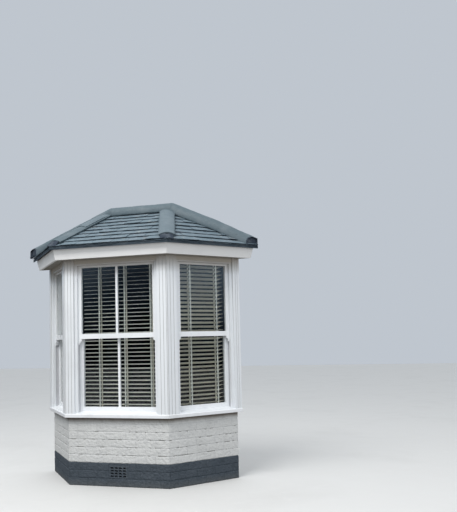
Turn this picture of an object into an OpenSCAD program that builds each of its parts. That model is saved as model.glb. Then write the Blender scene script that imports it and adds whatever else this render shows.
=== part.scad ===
// Three-sided bay window, ground floor: brick base, sliding sash windows and a hipped slate roof.
// Millimetres. X runs along the house wall, -Y faces the street, Z is up.
// The house wall face is the rear plane; the origin is the middle of the bounding box, at the base.
// "Offset" is the distance out from the outer brick face; sizes given from that face are offsets.

/* [Plan] */
// width of the brickwork where it meets the house wall
wall_width = 2300; // [2200:10:2500]
// width of the front brick face
front_width = 1164; // [1100:4:1240]
// distance from the house wall to the front brick face
projection = 650; // [620:5:700]
// thickness of the brick walls
brick_thickness = 215; // [200:5:225]

/* [Base] */
// height of one brick course with its joint
course_height = 82; // [75:1:86]
// courses in the plinth
plinth_courses = 3; // [2:1:4]
// top of the brickwork, under the sill
brick_top = 727; // [700:1:760]
// width of the air brick
airbrick_width = 210; // [200:5:225]
// height of the air brick
airbrick_height = 134; // [125:1:140]
// bottom of the air brick above the ground
airbrick_bottom = 86; // [70:1:95]

/* [Sill and head] */
// thickness of the outer sill
sill_thickness = 38; // [32:1:50]
// how far the sill nose stands out from the brick face
sill_nose = 48; // [46:1:60]
// height of the window heads, under the head beam
head_height = 2393; // [2350:1:2430]
// height of the frieze, from the window heads to the soffit
frieze = 43; // [41:1:52]
// height of the head beam
beam_height = 107; // [98:1:113]
// thickness of the room-side sill board
board_thickness = 25; // [20:1:32]

/* [Windows] */
// width of a corner post on the front face, from its outer corner
post_front = 112; // [100:1:120]
// width of a corner post on a side face, from its outer corner
post_side = 119; // [108:1:126]
// width of a wall post on a side face
post_wall = 87; // [80:1:95]
// how far the posts stand out from the brick face
post_face = 42; // [38:1:45]
// how far the outer lining stands out from the brick face
lining_face = 22; // [18:1:26]
// width of the outer lining seen beside a sash
lining_width = 34; // [30:1:38]
// thickness of a sash
sash_thickness = 35; // [33:1:36]
// width of a sash stile
stile_width = 44; // [40:1:48]
// height of the top of the meeting rails
meeting_top = 1626; // [1560:1:1680]
// height of the meeting rails
meeting_rail = 54; // [40:1:58]
// height of the bottom rail of the lower sash
bottom_rail = 44; // [40:1:70]
// height of the top rail of the upper sash
top_rail = 34; // [30:1:45]
// width of the glazing bar in the front sashes
bar_width = 25; // [18:1:30]
// thickness of the glass
glass_thickness = 4; // [3:1:6]
// length of the sash horns below the meeting rail
horn_length = 62; // [40:1:70]

/* [Blinds] */
// distance between slats
slat_pitch = 42; // [40:1:46]
// depth of a slat
slat_depth = 50; // [44:1:52]
// tilt of the slats in front, outer edge down
front_tilt = 19; // [12:1:30]
// tilt of the slats at the sides, outer edge down
side_tilt = 34; // [25:1:50]
// width of the ladder tapes
tape_width = 30; // [24:1:40]

/* [Roof] */
// roof pitch in degrees
pitch = 29.625; // [28.8:0.025:30.4]
// how far the eaves stand out from the brick face
eaves = 218; // [205:1:225]
// height of the top of the slates at the eaves, above the window heads
eaves_rise = 184; // [179:1:197]
// how much nearer to the ends of the bay the hips reach the wall than its plan gives
hip_shift = 70; // [0:5:90]
// depth of the slates at the eaves, measured upright
slate_depth = 37; // [34:1:40]
// slate courses from the eaves to the wall
courses = 9; // [7:1:11]
// height of the step between slate courses
step_height = 13; // [9:1:14]
// radius of the arched top of the hip tiles
hip_radius = 156; // [140:2:170]
// width of the hip tiles
hip_tile_width = 162; // [150:2:172]
// width of the cappings against the wall
capping_width = 110; // [100:1:120]
// height of the cappings against the wall
capping_height = 65; // [55:1:75]

/* [Hidden] */
front_half = front_width / 2;
wall_half = wall_width / 2;
cant = atan2(projection, wall_half - front_half);
plinth_top = plinth_courses * course_height;
sill_top = brick_top + sill_thickness;
soffit_height = head_height + frieze;
beam_top = head_height + beam_height;
eaves_top = head_height + eaves_rise;
depth = projection + eaves;            // whole depth, wall face to eaves
span = 1.5 * front_width;              // longer than any face
tall = 2 * head_height;                // clears the roof
over = 1;                              // by which cutting pieces pass a surface

slot_width = 36;                       // slots of the air brick
slot_height = 17;
slot_pitch = [48, 29];
slot_start = [15, 13];                 // from its lower left corner
airbrick_depth = 70;

sill_chamfer = [4, 5];
drip = [20, 30, 6];                    // start, end and depth of the drip groove
frame_lap = 25;                        // room-side board behind the brickwork
groove = 5;                            // width and depth of the grooves in the posts
corner_grooves = [18, 36, 57];         // from the corner of the post
wall_grooves = [34, 58];               // from the window

sash_y = 7;                            // front of the upper sash behind the brick face
bead = 7;                              // parting bead between the two sashes
lower_y = sash_y + sash_thickness + bead;
stop_y = lower_y + sash_thickness;
frame_y = stop_y + 16;                 // room side of frames, posts, sill and head beam
pulley = 23;                           // thickness of the pulley stile
sash_gap = 1.5;                        // side clearance of a sash
rebate = 8;                            // how far the glass sits into a sash
glass_set = 17;                        // glass behind the front of its sash
bar_set = 5;                           // glazing bar behind the front of its sash
sub_sill = 7;                          // front edge of the frame's own sill
seat_z = sill_top + 25;                // where the lower sash stands
sash_top = head_height - 7;
head_lap = 9;                          // outer lining over the top rail
stop_depth = 12;                       // inner stop at the head
meeting_bottom = meeting_top - meeting_rail;
lower_lap = 6;                         // glass of the lower sash above the meeting rail's foot
horn_radius = 34;
horn_foot = 6;
horn_lap = 8;                          // how far the curve reaches into the stile

slat_thickness = 3;
headrail = 45;
bottom_bar = 16;
blind_foot = sill_top + 35;
tape_thickness = 2;
front_blind = 454;                     // half its width
front_blind_y = 212;                   // behind the brick face
front_tape = 309;
side_blind = [210, 900];               // along the side face
side_blind_y = 135;
side_tapes = [347, 683];
blind_gap = 6;                         // clear of the house wall

beam_face = 30;                        // outer face of the head beam
soffit_thickness = 12;
fascia_back = 122;
fascia_foot = 147;
fascia_head = 172;
deck_depth = 20;                       // roof boarding, measured upright
deck_edge = 190;
rafter_depth = 160;                    // measured upright
rafter_width = 44;
hip_width = 50;
front_rafter = 230;                    // from the middle
side_rafters = [0.35, 0.72];           // along the side face
joint = 0.5;                           // between a rafter and the hip rafter
ceiling_z = soffit_height + 4;
ceiling_thickness = 25;
hip_start = 80;                        // from the eaves corner to the hip tile
hip_crest = 32;                        // top of the hip tile above the line of the hip
top_foot = 25;                         // depth of a capping's edge below its base
side_foot = 10;
capping_lap = [-12, 79];               // from the left and the right hip to the mitre of the cappings

arris_side = post_side - post_face * tan(cant / 2);   // side post edge from the brick corner
side_length = projection / sin(cant);
side_end = side_length + post_face / tan(cant) - post_wall;
side_mid = (arris_side + side_end) / 2;
side_frame = (side_end - arris_side) / 2;
arris_front = front_half + post_face * tan(cant / 2) - post_front;
rise = tan(pitch);
ridge = eaves_top + rise * depth;      // top of the slates at the wall
hip_top = front_half - projection * tan(cant / 2) + hip_shift;   // from the middle to a hip at the wall

function hw(o) = front_half + o * tan(cant / 2);
function py(o) = projection + o;
function tw(o) = wall_half + o / sin(cant);
// level length of a slope, from the eaves to the top of its hip
function reach_of(k) = k == 0 ? depth : (tw(eaves) - hip_top) * sin(cant);
// rise of a slope for each millimetre inwards
function rise_of(k) = rise * depth / reach_of(k);
function zl(k, o) = eaves_top + rise_of(k) * (eaves - o);   // mean slate surface
function zs(k, o) = zl(k, o) - slate_depth;                 // under the slates
function zu(k, o) = zs(k, o) - deck_depth;                  // under the boarding
function frame_half(k) = k == 0 ? arris_front : side_frame;
function frame_mid(k) = k * side_mid;
function sight(k) = frame_half(k) - pulley - sash_gap - stile_width;

module place() translate([0, depth / 2, 0]) children();

// everything stops at the house wall face
module before_wall() intersection() {
    children();
    translate([-span, -2 * span, 0]) cube([2 * span, 2 * span, tall]);
}

// local frame of a face: X along it, Y inwards from the brick face
module face(k) translate([k * front_half, -projection, 0]) rotate([0, 0, k * cant]) children();

// plan of one face between two offsets, mitred at the corners and cut at the wall
module sector(k, oi, oo, z0, z1) translate([0, 0, z0]) linear_extrude(z1 - z0)
    polygon(k == 0
        ? [[-hw(oo), -py(oo)], [hw(oo), -py(oo)], [hw(oi), -py(oi)], [-hw(oi), -py(oi)]]
        : [[k * hw(oo), -py(oo)], [k * tw(oo), 0], [k * tw(oi), 0], [k * hw(oi), -py(oi)]]);

// plan of the whole bay out to an offset, closed by the wall face
function outline(o) = [[-tw(o), 0], [-hw(o), -py(o)], [hw(o), -py(o)], [tw(o), 0]];
module plan(o, z0, z1) translate([0, 0, z0]) linear_extrude(z1 - z0) polygon(outline(o));

// a band that runs round the three faces between two offsets
module band(oi, oo, z0, z1) translate([0, 0, z0]) linear_extrude(z1 - z0)
    polygon(concat(outline(oo), [for (i = [3 : -1 : 0]) outline(oi)[i]]));

// plan of one roof slope, from an offset up to the wall
module slope(k, oo) linear_extrude(tall)
    polygon(k == 0
        ? [[-hw(oo), -py(oo)], [hw(oo), -py(oo)], [hip_top, 0], [-hip_top, 0]]
        : [[k * hw(oo), -py(oo)], [k * tw(oo), 0], [k * hip_top, 0]]);

// a section given as [offset, height], run along a face
module run(k, pts) face(k) rotate([90, 0, 90]) translate([0, 0, -span])
    linear_extrude(2 * span) polygon([for (p = pts) [-p[0], p[1]]]);

// everything below the three roof planes that pass at a height above or below the slates' line
module below_roof(drop) intersection_for(k = [-1 : 1])
    run(k, [[2 * eaves, 0], [2 * eaves, zl(k, 2 * eaves) - drop],
        [-wall_width, zl(k, -wall_width) - drop], [-wall_width, 0]]);

// Base
module airbrick_hole() translate([-airbrick_width / 2, -projection - over, airbrick_bottom])
    cube([airbrick_width, brick_thickness + 2 * over, airbrick_height]);

module plinth(k) color([0.27, 0.30, 0.33]) place() difference() {
    sector(k, -brick_thickness, 0, 0, plinth_top);
    if (k == 0) airbrick_hole();
}
module plinth_left() plinth(-1);
module plinth_front() plinth(0);
module plinth_right() plinth(1);

module airbrick() color([0.25, 0.28, 0.31]) place() difference() {
    translate([-airbrick_width / 2, -projection, airbrick_bottom])
        cube([airbrick_width, airbrick_depth, airbrick_height]);
    for (i = [0 : 3], j = [0 : 3])
        translate([-airbrick_width / 2 + slot_start[0] + i * slot_pitch[0], -projection - over,
            airbrick_bottom + slot_start[1] + j * slot_pitch[1]])
            cube([slot_width, airbrick_depth + 2 * over, slot_height]);
}

module brick(k) color([0.80, 0.81, 0.81]) place()
    sector(k, -brick_thickness, 0, plinth_top, brick_top);
module brick_left() brick(-1);
module brick_front() brick(0);
module brick_right() brick(1);

// Sill
module sill(k) color([0.93, 0.94, 0.95]) place() intersection() {
    run(k, [[sill_nose, brick_top], [sill_nose, sill_top - sill_chamfer[1]],
        [sill_nose - sill_chamfer[0], sill_top], [-frame_y, sill_top], [-frame_y, brick_top],
        [drip[0], brick_top], [drip[0], brick_top + drip[2]],
        [drip[1], brick_top + drip[2]], [drip[1], brick_top]]);
    sector(k, -frame_y - over, sill_nose + over, brick_top - over, sill_top + over);
}
module sill_left() sill(-1);
module sill_front() sill(0);
module sill_right() sill(1);

module sill_board() color([0.93, 0.93, 0.92]) place()
    band(-brick_thickness - frame_lap, -frame_y, brick_top, brick_top + board_thickness);

// Posts
module grooves(from, dir, places) for (d = places)
    translate([from + dir * d - groove / 2, -post_face - over]) square([groove, groove]);

// a point of a side face, given along it and inwards from the brick face
function side_point(k, s, y) = [k * (front_half + s * cos(cant) - y * sin(cant)),
    -projection + s * sin(cant) + y * cos(cant)];

// above the window heads the posts stand in front of the head beam only
module beam_space() band(-frame_y - over, beam_face, head_height, soffit_height + over);

module post(k) color([0.91, 0.92, 0.94]) place() difference() {
    translate([0, 0, sill_top]) linear_extrude(soffit_height - sill_top) difference() {
        polygon([[k * arris_front, -py(post_face)], [k * hw(post_face), -py(post_face)],
            side_point(k, arris_side, -post_face), side_point(k, arris_side, frame_y),
            [k * hw(-frame_y), -py(-frame_y)], [k * arris_front, -py(-frame_y)]]);
        translate([0, -projection]) grooves(k * hw(post_face), -k, corner_grooves);
        translate([k * front_half, -projection]) rotate(k * cant)
            grooves(-k * post_face * tan(cant / 2), k, corner_grooves);
    }
    beam_space();
}
module post_left() post(-1);
module post_right() post(1);

module wall_post(k) color([0.91, 0.92, 0.94]) place() before_wall() difference() {
    face(k) translate([0, 0, sill_top]) linear_extrude(soffit_height - sill_top) difference() {
        translate([k > 0 ? side_end : -side_end - span, -post_face])
            square([span, post_face + frame_y]);
        grooves(k * side_end, k, wall_grooves);
    }
    beam_space();
}
module wall_post_left() wall_post(-1);
module wall_post_right() wall_post(1);

// Windows
module frame(k) {
    w = frame_half(k);
    color([0.93, 0.94, 0.95]) place() before_wall() face(k) translate([frame_mid(k), 0, 0]) {
        for (s = [-1, 1]) translate([0, 0, sill_top]) linear_extrude(head_height - sill_top)
            polygon([[s * w, -lining_face], [s * (w - lining_width), -lining_face],
                [s * (w - lining_width), sash_y], [s * (w - pulley), sash_y],
                [s * (w - pulley), lower_y - bead], [s * (w - pulley - bead), lower_y - bead],
                [s * (w - pulley - bead), lower_y], [s * (w - pulley), lower_y],
                [s * (w - pulley), stop_y], [s * (w - lining_width), stop_y],
                [s * (w - lining_width), frame_y], [s * w, frame_y]]);
        rotate([90, 0, 90]) translate([0, 0, -w]) linear_extrude(2 * w) union() {
            polygon([[-lining_face, sill_top], [frame_y, sill_top], [frame_y, seat_z],
                [lower_y, seat_z], [-lining_face, sill_top + sub_sill]]);
            translate([-lining_face, sash_top - head_lap])
                square([sash_y + lining_face, head_height - sash_top + head_lap]);
            translate([sash_y, sash_top]) square([frame_y - sash_y, head_height - sash_top]);
            translate([lower_y - bead, sash_top - bead]) square([bead, bead + over]);
            translate([stop_y, sash_top - stop_depth]) square([frame_y - stop_y, stop_depth + over]);
        }
    }
}
module frame_left() frame(-1);
module frame_front() frame(0);
module frame_right() frame(1);

// one pane, seated in the sash all round
module pane(k, y, z0, z1) translate([-sight(k) - rebate, y + glass_set, z0 - rebate])
    cube([2 * (sight(k) + rebate), glass_thickness, z1 - z0 + 2 * rebate]);
module upper_pane(k) pane(k, sash_y, meeting_top, sash_top - top_rail);
module lower_pane(k) pane(k, lower_y, seat_z + bottom_rail, meeting_bottom + lower_lap);

module sash(k, y, z0, z1, g0, g1) {
    half = sight(k) + stile_width;
    difference() {
        translate([-half, y, z0]) cube([2 * half, sash_thickness, z1 - z0]);
        difference() {
            translate([-sight(k), y - over, g0])
                cube([2 * sight(k), sash_thickness + 2 * over, g1 - g0]);
            if (k == 0) translate([-bar_width / 2, y + bar_set, g0 - over])
                cube([bar_width, sash_thickness - 2 * bar_set, g1 - g0 + 2 * over]);
        }
        pane(k, y, g0, g1);
    }
}

module horns(k) for (s = [-1, 1]) difference() {
    translate([s > 0 ? sight(k) : -sight(k) - stile_width, sash_y, meeting_bottom - horn_length])
        cube([stile_width, sash_thickness, horn_length]);
    translate([s * (sight(k) - horn_lap), sash_y - over, meeting_bottom - horn_length]) {
        translate([0, 0, horn_foot]) rotate([-90, 0, 0])
            cylinder(r = horn_radius, h = sash_thickness + 2 * over, $fn = 64);
        translate([-horn_radius, 0, -over])
            cube([2 * horn_radius, sash_thickness + 2 * over, horn_foot + over]);
    }
}

module upper_sash(k) color([0.94, 0.95, 0.96]) place() face(k) translate([frame_mid(k), 0, 0]) {
    sash(k, sash_y, meeting_bottom, sash_top, meeting_top, sash_top - top_rail);
    horns(k);
}
module upper_sash_left() upper_sash(-1);
module upper_sash_front() upper_sash(0);
module upper_sash_right() upper_sash(1);

module lower_sash(k) color([0.94, 0.95, 0.96]) place() before_wall() face(k)
    translate([frame_mid(k), 0, 0])
        sash(k, lower_y, seat_z, meeting_top, seat_z + bottom_rail, meeting_bottom + lower_lap);
module lower_sash_left() lower_sash(-1);
module lower_sash_front() lower_sash(0);
module lower_sash_right() lower_sash(1);

module glass(k) color([0.16, 0.20, 0.25, 0.45]) place() face(k) translate([frame_mid(k), 0, 0]) {
    upper_pane(k);
    lower_pane(k);
}
module glass_left() glass(-1);
module glass_front() glass(0);
module glass_right() glass(1);

// Blinds
// x0 to x1 along the face, y0 front of the slats; tapes at the given places
module blind(k, x0, x1, y0, tapes) {
    mid = y0 + slat_depth / 2;
    tilt = k == 0 ? front_tilt : side_tilt;
    reach = slat_depth / 2 * cos(tilt);
    n = floor((ceiling_z - headrail - bottom_bar - blind_foot) / slat_pitch);
    color([0.66, 0.65, 0.58]) place() before_wall() translate([0, k == 0 ? 0 : -blind_gap, 0]) face(k) {
        translate([x0, y0 - tape_thickness, ceiling_z - headrail])
            cube([x1 - x0, slat_depth + 2 * tape_thickness, headrail]);
        translate([x0, y0, blind_foot]) cube([x1 - x0, slat_depth, bottom_bar]);
        for (i = [1 : n]) translate([x0, mid, blind_foot + i * slat_pitch]) rotate([tilt, 0, 0])
            translate([0, -slat_depth / 2, -slat_thickness / 2])
                cube([x1 - x0, slat_depth, slat_thickness]);
        for (t = tapes, s = [-1, 1])
            translate([t - tape_width / 2, mid + s * reach - tape_thickness / 2,
                blind_foot + bottom_bar / 2])
                cube([tape_width, tape_thickness, ceiling_z - headrail - blind_foot]);
    }
}
module blind_front() blind(0, -front_blind, front_blind, front_blind_y,
    [-front_tape, 0, front_tape]);
module blind_left() blind(-1, -side_blind[1], -side_blind[0], side_blind_y, -side_tapes);
module blind_right() blind(1, side_blind[0], side_blind[1], side_blind_y, side_tapes);

// Head, eaves and roof
module head_beam() color([0.90, 0.91, 0.92]) place()
    band(-frame_y, beam_face, head_height, beam_top);

module soffit() color([0.80, 0.79, 0.77]) place()
    band(beam_face, fascia_back, soffit_height, soffit_height + soffit_thickness);

module fascia(k) color([0.90, 0.91, 0.92]) place() intersection() {
    run(k, [[fascia_back, soffit_height], [fascia_foot, soffit_height],
        [fascia_head, zu(k, fascia_head)], [fascia_back, zu(k, fascia_back)]]);
    sector(k, fascia_back - over, fascia_head + over, soffit_height - over, tall);
}
module fascia_left() fascia(-1);
module fascia_front() fascia(0);
module fascia_right() fascia(1);

module ceiling() color([0.92, 0.92, 0.91]) place()
    plan(-frame_y, ceiling_z, ceiling_z + ceiling_thickness);

// the upright space over one hip, as wide as a timber
module over_hip(k, width) translate([k * hip_top, 0, 0])
    rotate([0, 0, k * atan2(hw(eaves) - hip_top, depth)])
        translate([-width / 2, -2 * depth, 0]) cube([width, 4 * depth, tall]);

// three common rafters in front, two on each side
module common_rafters(k) difference() {
    intersection() {
        slope(k, eaves);
        if (k == 0) for (i = [-1 : 1])
            translate([i * front_rafter - rafter_width / 2, -depth, 0])
                cube([rafter_width, depth, tall]);
        else face(k) for (s = side_rafters)
            translate([k * s * side_length - rafter_width / 2, -eaves, 0])
                cube([rafter_width, 2 * depth, tall]);
    }
    for (j = [-1, 1]) over_hip(j, hip_width + 2 * joint);
}

// the rafters stand on the head beam and the soffit, under the boarding
module rafters() {
    under = slate_depth + deck_depth;
    seat = eaves - (beam_top - eaves_top + under + rafter_depth) / rise;
    color([0.72, 0.58, 0.42]) place() difference() {
        intersection() {
            union() {
                for (k = [-1 : 1]) common_rafters(k);
                for (k = [-1, 1]) over_hip(k, hip_width);
            }
            plan(fascia_back, soffit_height + soffit_thickness, tall);
            below_roof(under);
        }
        plan(beam_face, 0, beam_top);
        intersection() {
            plan(seat, 0, tall);
            below_roof(under + rafter_depth);
        }
    }
}

module roof_deck() color([0.76, 0.64, 0.47]) place() difference() {
    intersection() {
        plan(deck_edge, 0, tall);
        below_roof(slate_depth);
    }
    below_roof(slate_depth + deck_depth);
}

// the upper edges of one course of slates, lower edge first
function tops(k, i) = let(course = reach_of(k) / courses, a = eaves - i * course, b = a - course)
    [[a, zl(k, a) + step_height / 2], [b, zl(k, b) - step_height / 2]];

module slates(k) color([0.46, 0.53, 0.57]) place() intersection() {
    run(k, concat([[-projection, zs(k, -projection)], [eaves, zs(k, eaves)]],
        [for (i = [0 : courses - 1], p = tops(k, i)) p]));
    slope(k, eaves + over);
}
module slates_left() slates(-1);
module slates_front() slates(0);
module slates_right() slates(1);

// hip tiles lie on the edges of the courses and stop at the cappings
module hip_tiles() color([0.44, 0.51, 0.55]) place() for (k = [-1, 1]) {
    aside = hw(eaves) - hip_top;
    tilt = atan2(ridge - eaves_top, sqrt(aside * aside + depth * depth));
    intersection() {
        translate([k * hw(eaves), -depth, eaves_top])
            rotate([0, 0, atan2(depth, -k * aside)]) rotate([0, 90 - tilt, 0]) intersection() {
                translate([hip_radius - hip_crest, 0, hip_start])
                    cylinder(r = hip_radius, h = span, $fn = 96);
                translate([-span, -hip_tile_width / 2, 0]) cube([2 * span, hip_tile_width, span]);
            }
        union() {
            for (j = [0, k]) intersection() {
                run(j, [[eaves, zl(j, eaves) + step_height / 2],
                    [-projection, zl(j, -projection) + step_height / 2],
                    [-projection, tall], [eaves, tall]]);
                slope(j, eaves);
            }
        }
        translate([-span, -2 * span, 0]) cube([2 * span, 2 * span - capping_width, tall]);
    }
}

function arc(w, h, edge) = [for (a = [0 : 9 : 90]) [-w * sin(a), edge + (h - edge) * cos(a)]];

// from the middle to the mitre of the cappings
function mitre(k) = hip_top + capping_lap[k > 0 ? 1 : 0];

module top_capping() {
    e = step_height / 2;
    color([0.46, 0.53, 0.57]) place() translate([-mitre(-1), 0, ridge]) rotate([90, 0, 90])
        linear_extrude(mitre(-1) + mitre(1))
            polygon(concat([[0, e]], arc(capping_width, capping_height, -top_foot),
                [[-capping_width, e - rise * capping_width]]));
}

// a capping beside the top one follows the fall of its slope along the wall down to the eaves
module side_capping(k) {
    fall = atan((ridge - eaves_top) / (tw(eaves) - hip_top));
    lap = mitre(k) - hip_top;
    height = (capping_height + lap * tan(fall)) * cos(fall);
    e = step_height / 2 * cos(fall);
    m = rise_of(k) * cos(cant) * cos(fall);
    intersection() {
        translate([k * hip_top, 0, ridge]) rotate([0, k * fall, 0]) rotate([90, 0, 90])
            translate([0, 0, k > 0 ? -lap : -span]) linear_extrude(span + lap)
                polygon(concat([[0, e]], arc(capping_width, height, -side_foot),
                    [[-capping_width, e - m * capping_width]]));
        translate([k > 0 ? mitre(k) : -mitre(k) - span, -span, 0]) cube([span, span, tall]);
        plan(eaves, 0, tall);
    }
}
module side_cappings() color([0.46, 0.53, 0.57]) place() for (k = [-1, 1]) side_capping(k);

plinth_left();
plinth_front();
plinth_right();
airbrick();
brick_left();
brick_front();
brick_right();
sill_left();
sill_front();
sill_right();
sill_board();
post_left();
post_right();
wall_post_left();
wall_post_right();
frame_left();
frame_front();
frame_right();
upper_sash_left();
upper_sash_front();
upper_sash_right();
lower_sash_left();
lower_sash_front();
lower_sash_right();
glass_left();
glass_front();
glass_right();
blind_left();
blind_front();
blind_right();
head_beam();
soffit();
fascia_left();
fascia_front();
fascia_right();
ceiling();
rafters();
roof_deck();
slates_left();
slates_front();
slates_right();
hip_tiles();
top_capping();
side_cappings();
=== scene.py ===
# %% [markdown]
# A bay window is a small building on its own: painted brickwork below, timber sashes in the
# middle and a slated roof on top. The measured model already holds each part at its true size
# and place. This lesson loads it and then dresses it, piece by piece, with the bricks, slates,
# blind slats, bevels and paint that a measured model leaves out.

# %% Load the measured bay
import math
import random
import bpy
from mathutils import Matrix, Vector, noise as wander


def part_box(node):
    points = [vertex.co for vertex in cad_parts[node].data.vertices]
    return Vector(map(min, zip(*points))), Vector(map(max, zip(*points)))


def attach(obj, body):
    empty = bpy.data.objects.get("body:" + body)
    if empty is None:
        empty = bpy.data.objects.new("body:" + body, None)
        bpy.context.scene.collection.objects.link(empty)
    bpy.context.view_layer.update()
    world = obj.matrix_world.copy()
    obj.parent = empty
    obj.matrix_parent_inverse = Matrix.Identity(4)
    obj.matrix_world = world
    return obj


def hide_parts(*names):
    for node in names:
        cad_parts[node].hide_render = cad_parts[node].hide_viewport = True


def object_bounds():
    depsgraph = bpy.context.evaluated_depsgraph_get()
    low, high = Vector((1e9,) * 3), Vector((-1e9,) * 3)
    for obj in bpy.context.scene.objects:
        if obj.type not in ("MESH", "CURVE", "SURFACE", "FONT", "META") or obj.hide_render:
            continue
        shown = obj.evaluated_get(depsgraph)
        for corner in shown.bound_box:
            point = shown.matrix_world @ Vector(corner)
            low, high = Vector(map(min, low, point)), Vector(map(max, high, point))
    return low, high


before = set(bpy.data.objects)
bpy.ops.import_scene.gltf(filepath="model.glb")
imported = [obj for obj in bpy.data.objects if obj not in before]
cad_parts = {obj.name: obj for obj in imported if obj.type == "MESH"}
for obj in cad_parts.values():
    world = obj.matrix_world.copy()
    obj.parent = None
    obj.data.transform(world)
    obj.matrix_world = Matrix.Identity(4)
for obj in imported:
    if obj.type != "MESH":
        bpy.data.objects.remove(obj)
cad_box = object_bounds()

print("measured parts:", len(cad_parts))

# %% [markdown]
# The camera comes first, because every later choice is judged through it. The photograph was
# taken from the right of the bay, a little below the middle of the windows, with a fairly long
# lens. A slight upward tilt and a small roll bring the level lines to where the photograph
# shows them, and a small vertical shift puts the picture's centre back on the lens axis. The
# plain display of colours is chosen, so that white paint comes out white and not grey.

# %% Camera at the photograph's place
camera_data = bpy.data.cameras.new("street_camera")
camera_data.lens = 45.0
camera_data.sensor_width = 36.0
camera_data.shift_y = 0.0868
camera_data.clip_end = 60.0
camera = bpy.data.objects.new("street_camera", camera_data)
bpy.context.scene.collection.objects.link(camera)
bpy.context.scene.camera = camera

yaw, pitch, roll = (math.radians(angle) for angle in (15.793, 3.541, -1.374))
ahead = Vector((-math.sin(yaw) * math.cos(pitch), math.cos(yaw) * math.cos(pitch), math.sin(pitch)))
right = Vector((math.cos(yaw), math.sin(yaw), 0.0))
up = right.cross(ahead)
camera_x = math.cos(roll) * right + math.sin(roll) * up
camera_y = -math.sin(roll) * right + math.cos(roll) * up
camera_place = Vector((3.0404, -6.5114, 1.5238))
camera.matrix_world = Matrix.Translation(camera_place) @ Matrix(
    (camera_x, camera_y, -ahead)).transposed().to_4x4()
bpy.context.scene.view_settings.view_transform = "Standard"
back_middle = Vector((0, cad_box[1][1]))
print("camera to the middle of the bay's back:",
      round((camera_place.xy - back_middle).length, 2), "m")

# %% [markdown]
# A plain pale floor catches a soft shadow and says that the bay stands on the ground. It is a
# backdrop, not a part, and it lies a hair below the plinth so that the two faces never flicker
# into each other. Outdoors much less light comes up from the ground than down from the sky, so
# the pale floor is kept from lighting the bay from below and from showing in the panes.

# %% Floor
def clear_selection():
    bpy.ops.object.select_all(action="DESELECT")


clear_selection()
bpy.ops.mesh.primitive_plane_add(size=60, location=(0, 0, -0.0015))
floor = bpy.context.object
floor.name = "floor"
floor.visible_diffuse = floor.visible_glossy = False
print("floor", round(floor.dimensions.x), "m wide")

# %% [markdown]
# Skies and finishes are both built from nodes. One helper gives a node its input values, which
# may be numbers, colours or what another node puts out. The other makes a node and feeds it.

# %% Helpers for nodes
def feed(tree, target, values):
    for place, value in values.items():
        socket = target.inputs[place]
        if isinstance(value, bpy.types.NodeSocket):
            tree.links.new(value, socket)
        else:
            socket.default_value = (*value, 1) if socket.type == "RGBA" else value


def add_node(tree, kind, values, **settings):
    made = tree.nodes.new("ShaderNode" + kind)
    for name, value in settings.items():
        setattr(made, name, value)
    feed(tree, made, values)
    return made


print("helpers: feed a node, add a node")

# %% [markdown]
# The world is a pale sky, but different rays may see different ones. The camera sees a plain pale
# backdrop. The light that falls on the bay comes from a sky that is darker under the horizon, as
# the ground is. What the panes mirror is another matter: an open view is dark below and pale
# above, so mirrored rays see a sky that darkens to the horizon and stays paler at both sides,
# most of all to the right. Each sky is a ramp of colours over the height of its point, and the
# kind of ray picks among them.

# %% Three skies
world = bpy.data.worlds.new("pale_sky")
world.use_nodes = True
sky = world.node_tree
pale_sky = sky.nodes["Background"]
feed(sky, pale_sky, {"Color": (0.84, 0.91, 1.0), "Strength": 0.62})
parts = add_node(sky, "SeparateXYZ", {"Vector": add_node(sky, "TexCoord", {}).outputs["Generated"]})
ray = add_node(sky, "LightPath", {})


def ramp(source, stops):
    """A ramp of colours over a source, given as places and colours, its two ends first."""
    shades = add_node(sky, "ValToRGB", {"Fac": source})
    elements = shades.color_ramp.elements
    for number, (place, colour) in enumerate(stops):
        stop = elements[number] if number < 2 else elements.new(place)
        stop.position, stop.color = place, (*colour, 1)
    return shades.outputs["Color"]


def spread(source, low):
    """Brings a source that runs from low to 1 to run from 0 to 1."""
    return add_node(sky, "MapRange", {"Value": source, "From Min": low}).outputs["Result"]


def sky_of(height, stops):
    """A sky whose colour changes with the height of its point."""
    return add_node(sky, "Background", {"Color": ramp(height, stops)}).outputs["Background"]


def swap(kind, plain, other):
    """The plain sky, or the other one for rays of one kind."""
    either = add_node(sky, "MixShader", {"Fac": ray.outputs[kind], 1: plain, 2: other})
    return either.outputs["Shader"]


side_lift = ramp(spread(parts.outputs["X"], -1.0), (
    (0.265, (0.055,) * 3), (1.0, (0.10,) * 3), (0.30, (0.015,) * 3), (0.50, (0.015,) * 3)))
lifted = add_node(sky, "Math", {0: side_lift, 1: parts.outputs["Z"]}, operation="ADD")
lighting = sky_of(spread(parts.outputs["Z"], -0.25), (
    (0.0, (0.42, 0.42, 0.41)), (1.0, (1.0, 1.0, 1.0)),
    (0.20, (0.46, 0.48, 0.51)), (0.56, (0.68, 0.73, 0.79))))
mirrored = sky_of(lifted.outputs["Value"], (
    (0.05, (0.004, 0.005, 0.006)), (0.60, (0.80, 0.90, 1.0)),
    (0.12, (0.05, 0.09, 0.14)), (0.20, (0.46, 0.62, 0.80))))
seen = swap("Is Camera Ray", lighting, pale_sky.outputs["Background"])
feed(sky, sky.nodes["World Output"], {"Surface": swap("Is Glossy Ray", seen, mirrored)})
bpy.context.scene.world = world
print("three skies on", len(sky.nodes), "nodes")

# %% [markdown]
# One wide lamp high up in front does the work of an overcast sky, so the eaves throw a soft shadow
# on the posts and the blinds. A weaker one fills in from the right. No pane may mirror that one,
# because it would show as a hard bright band, and the sky that the panes mirror is enough.

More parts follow.
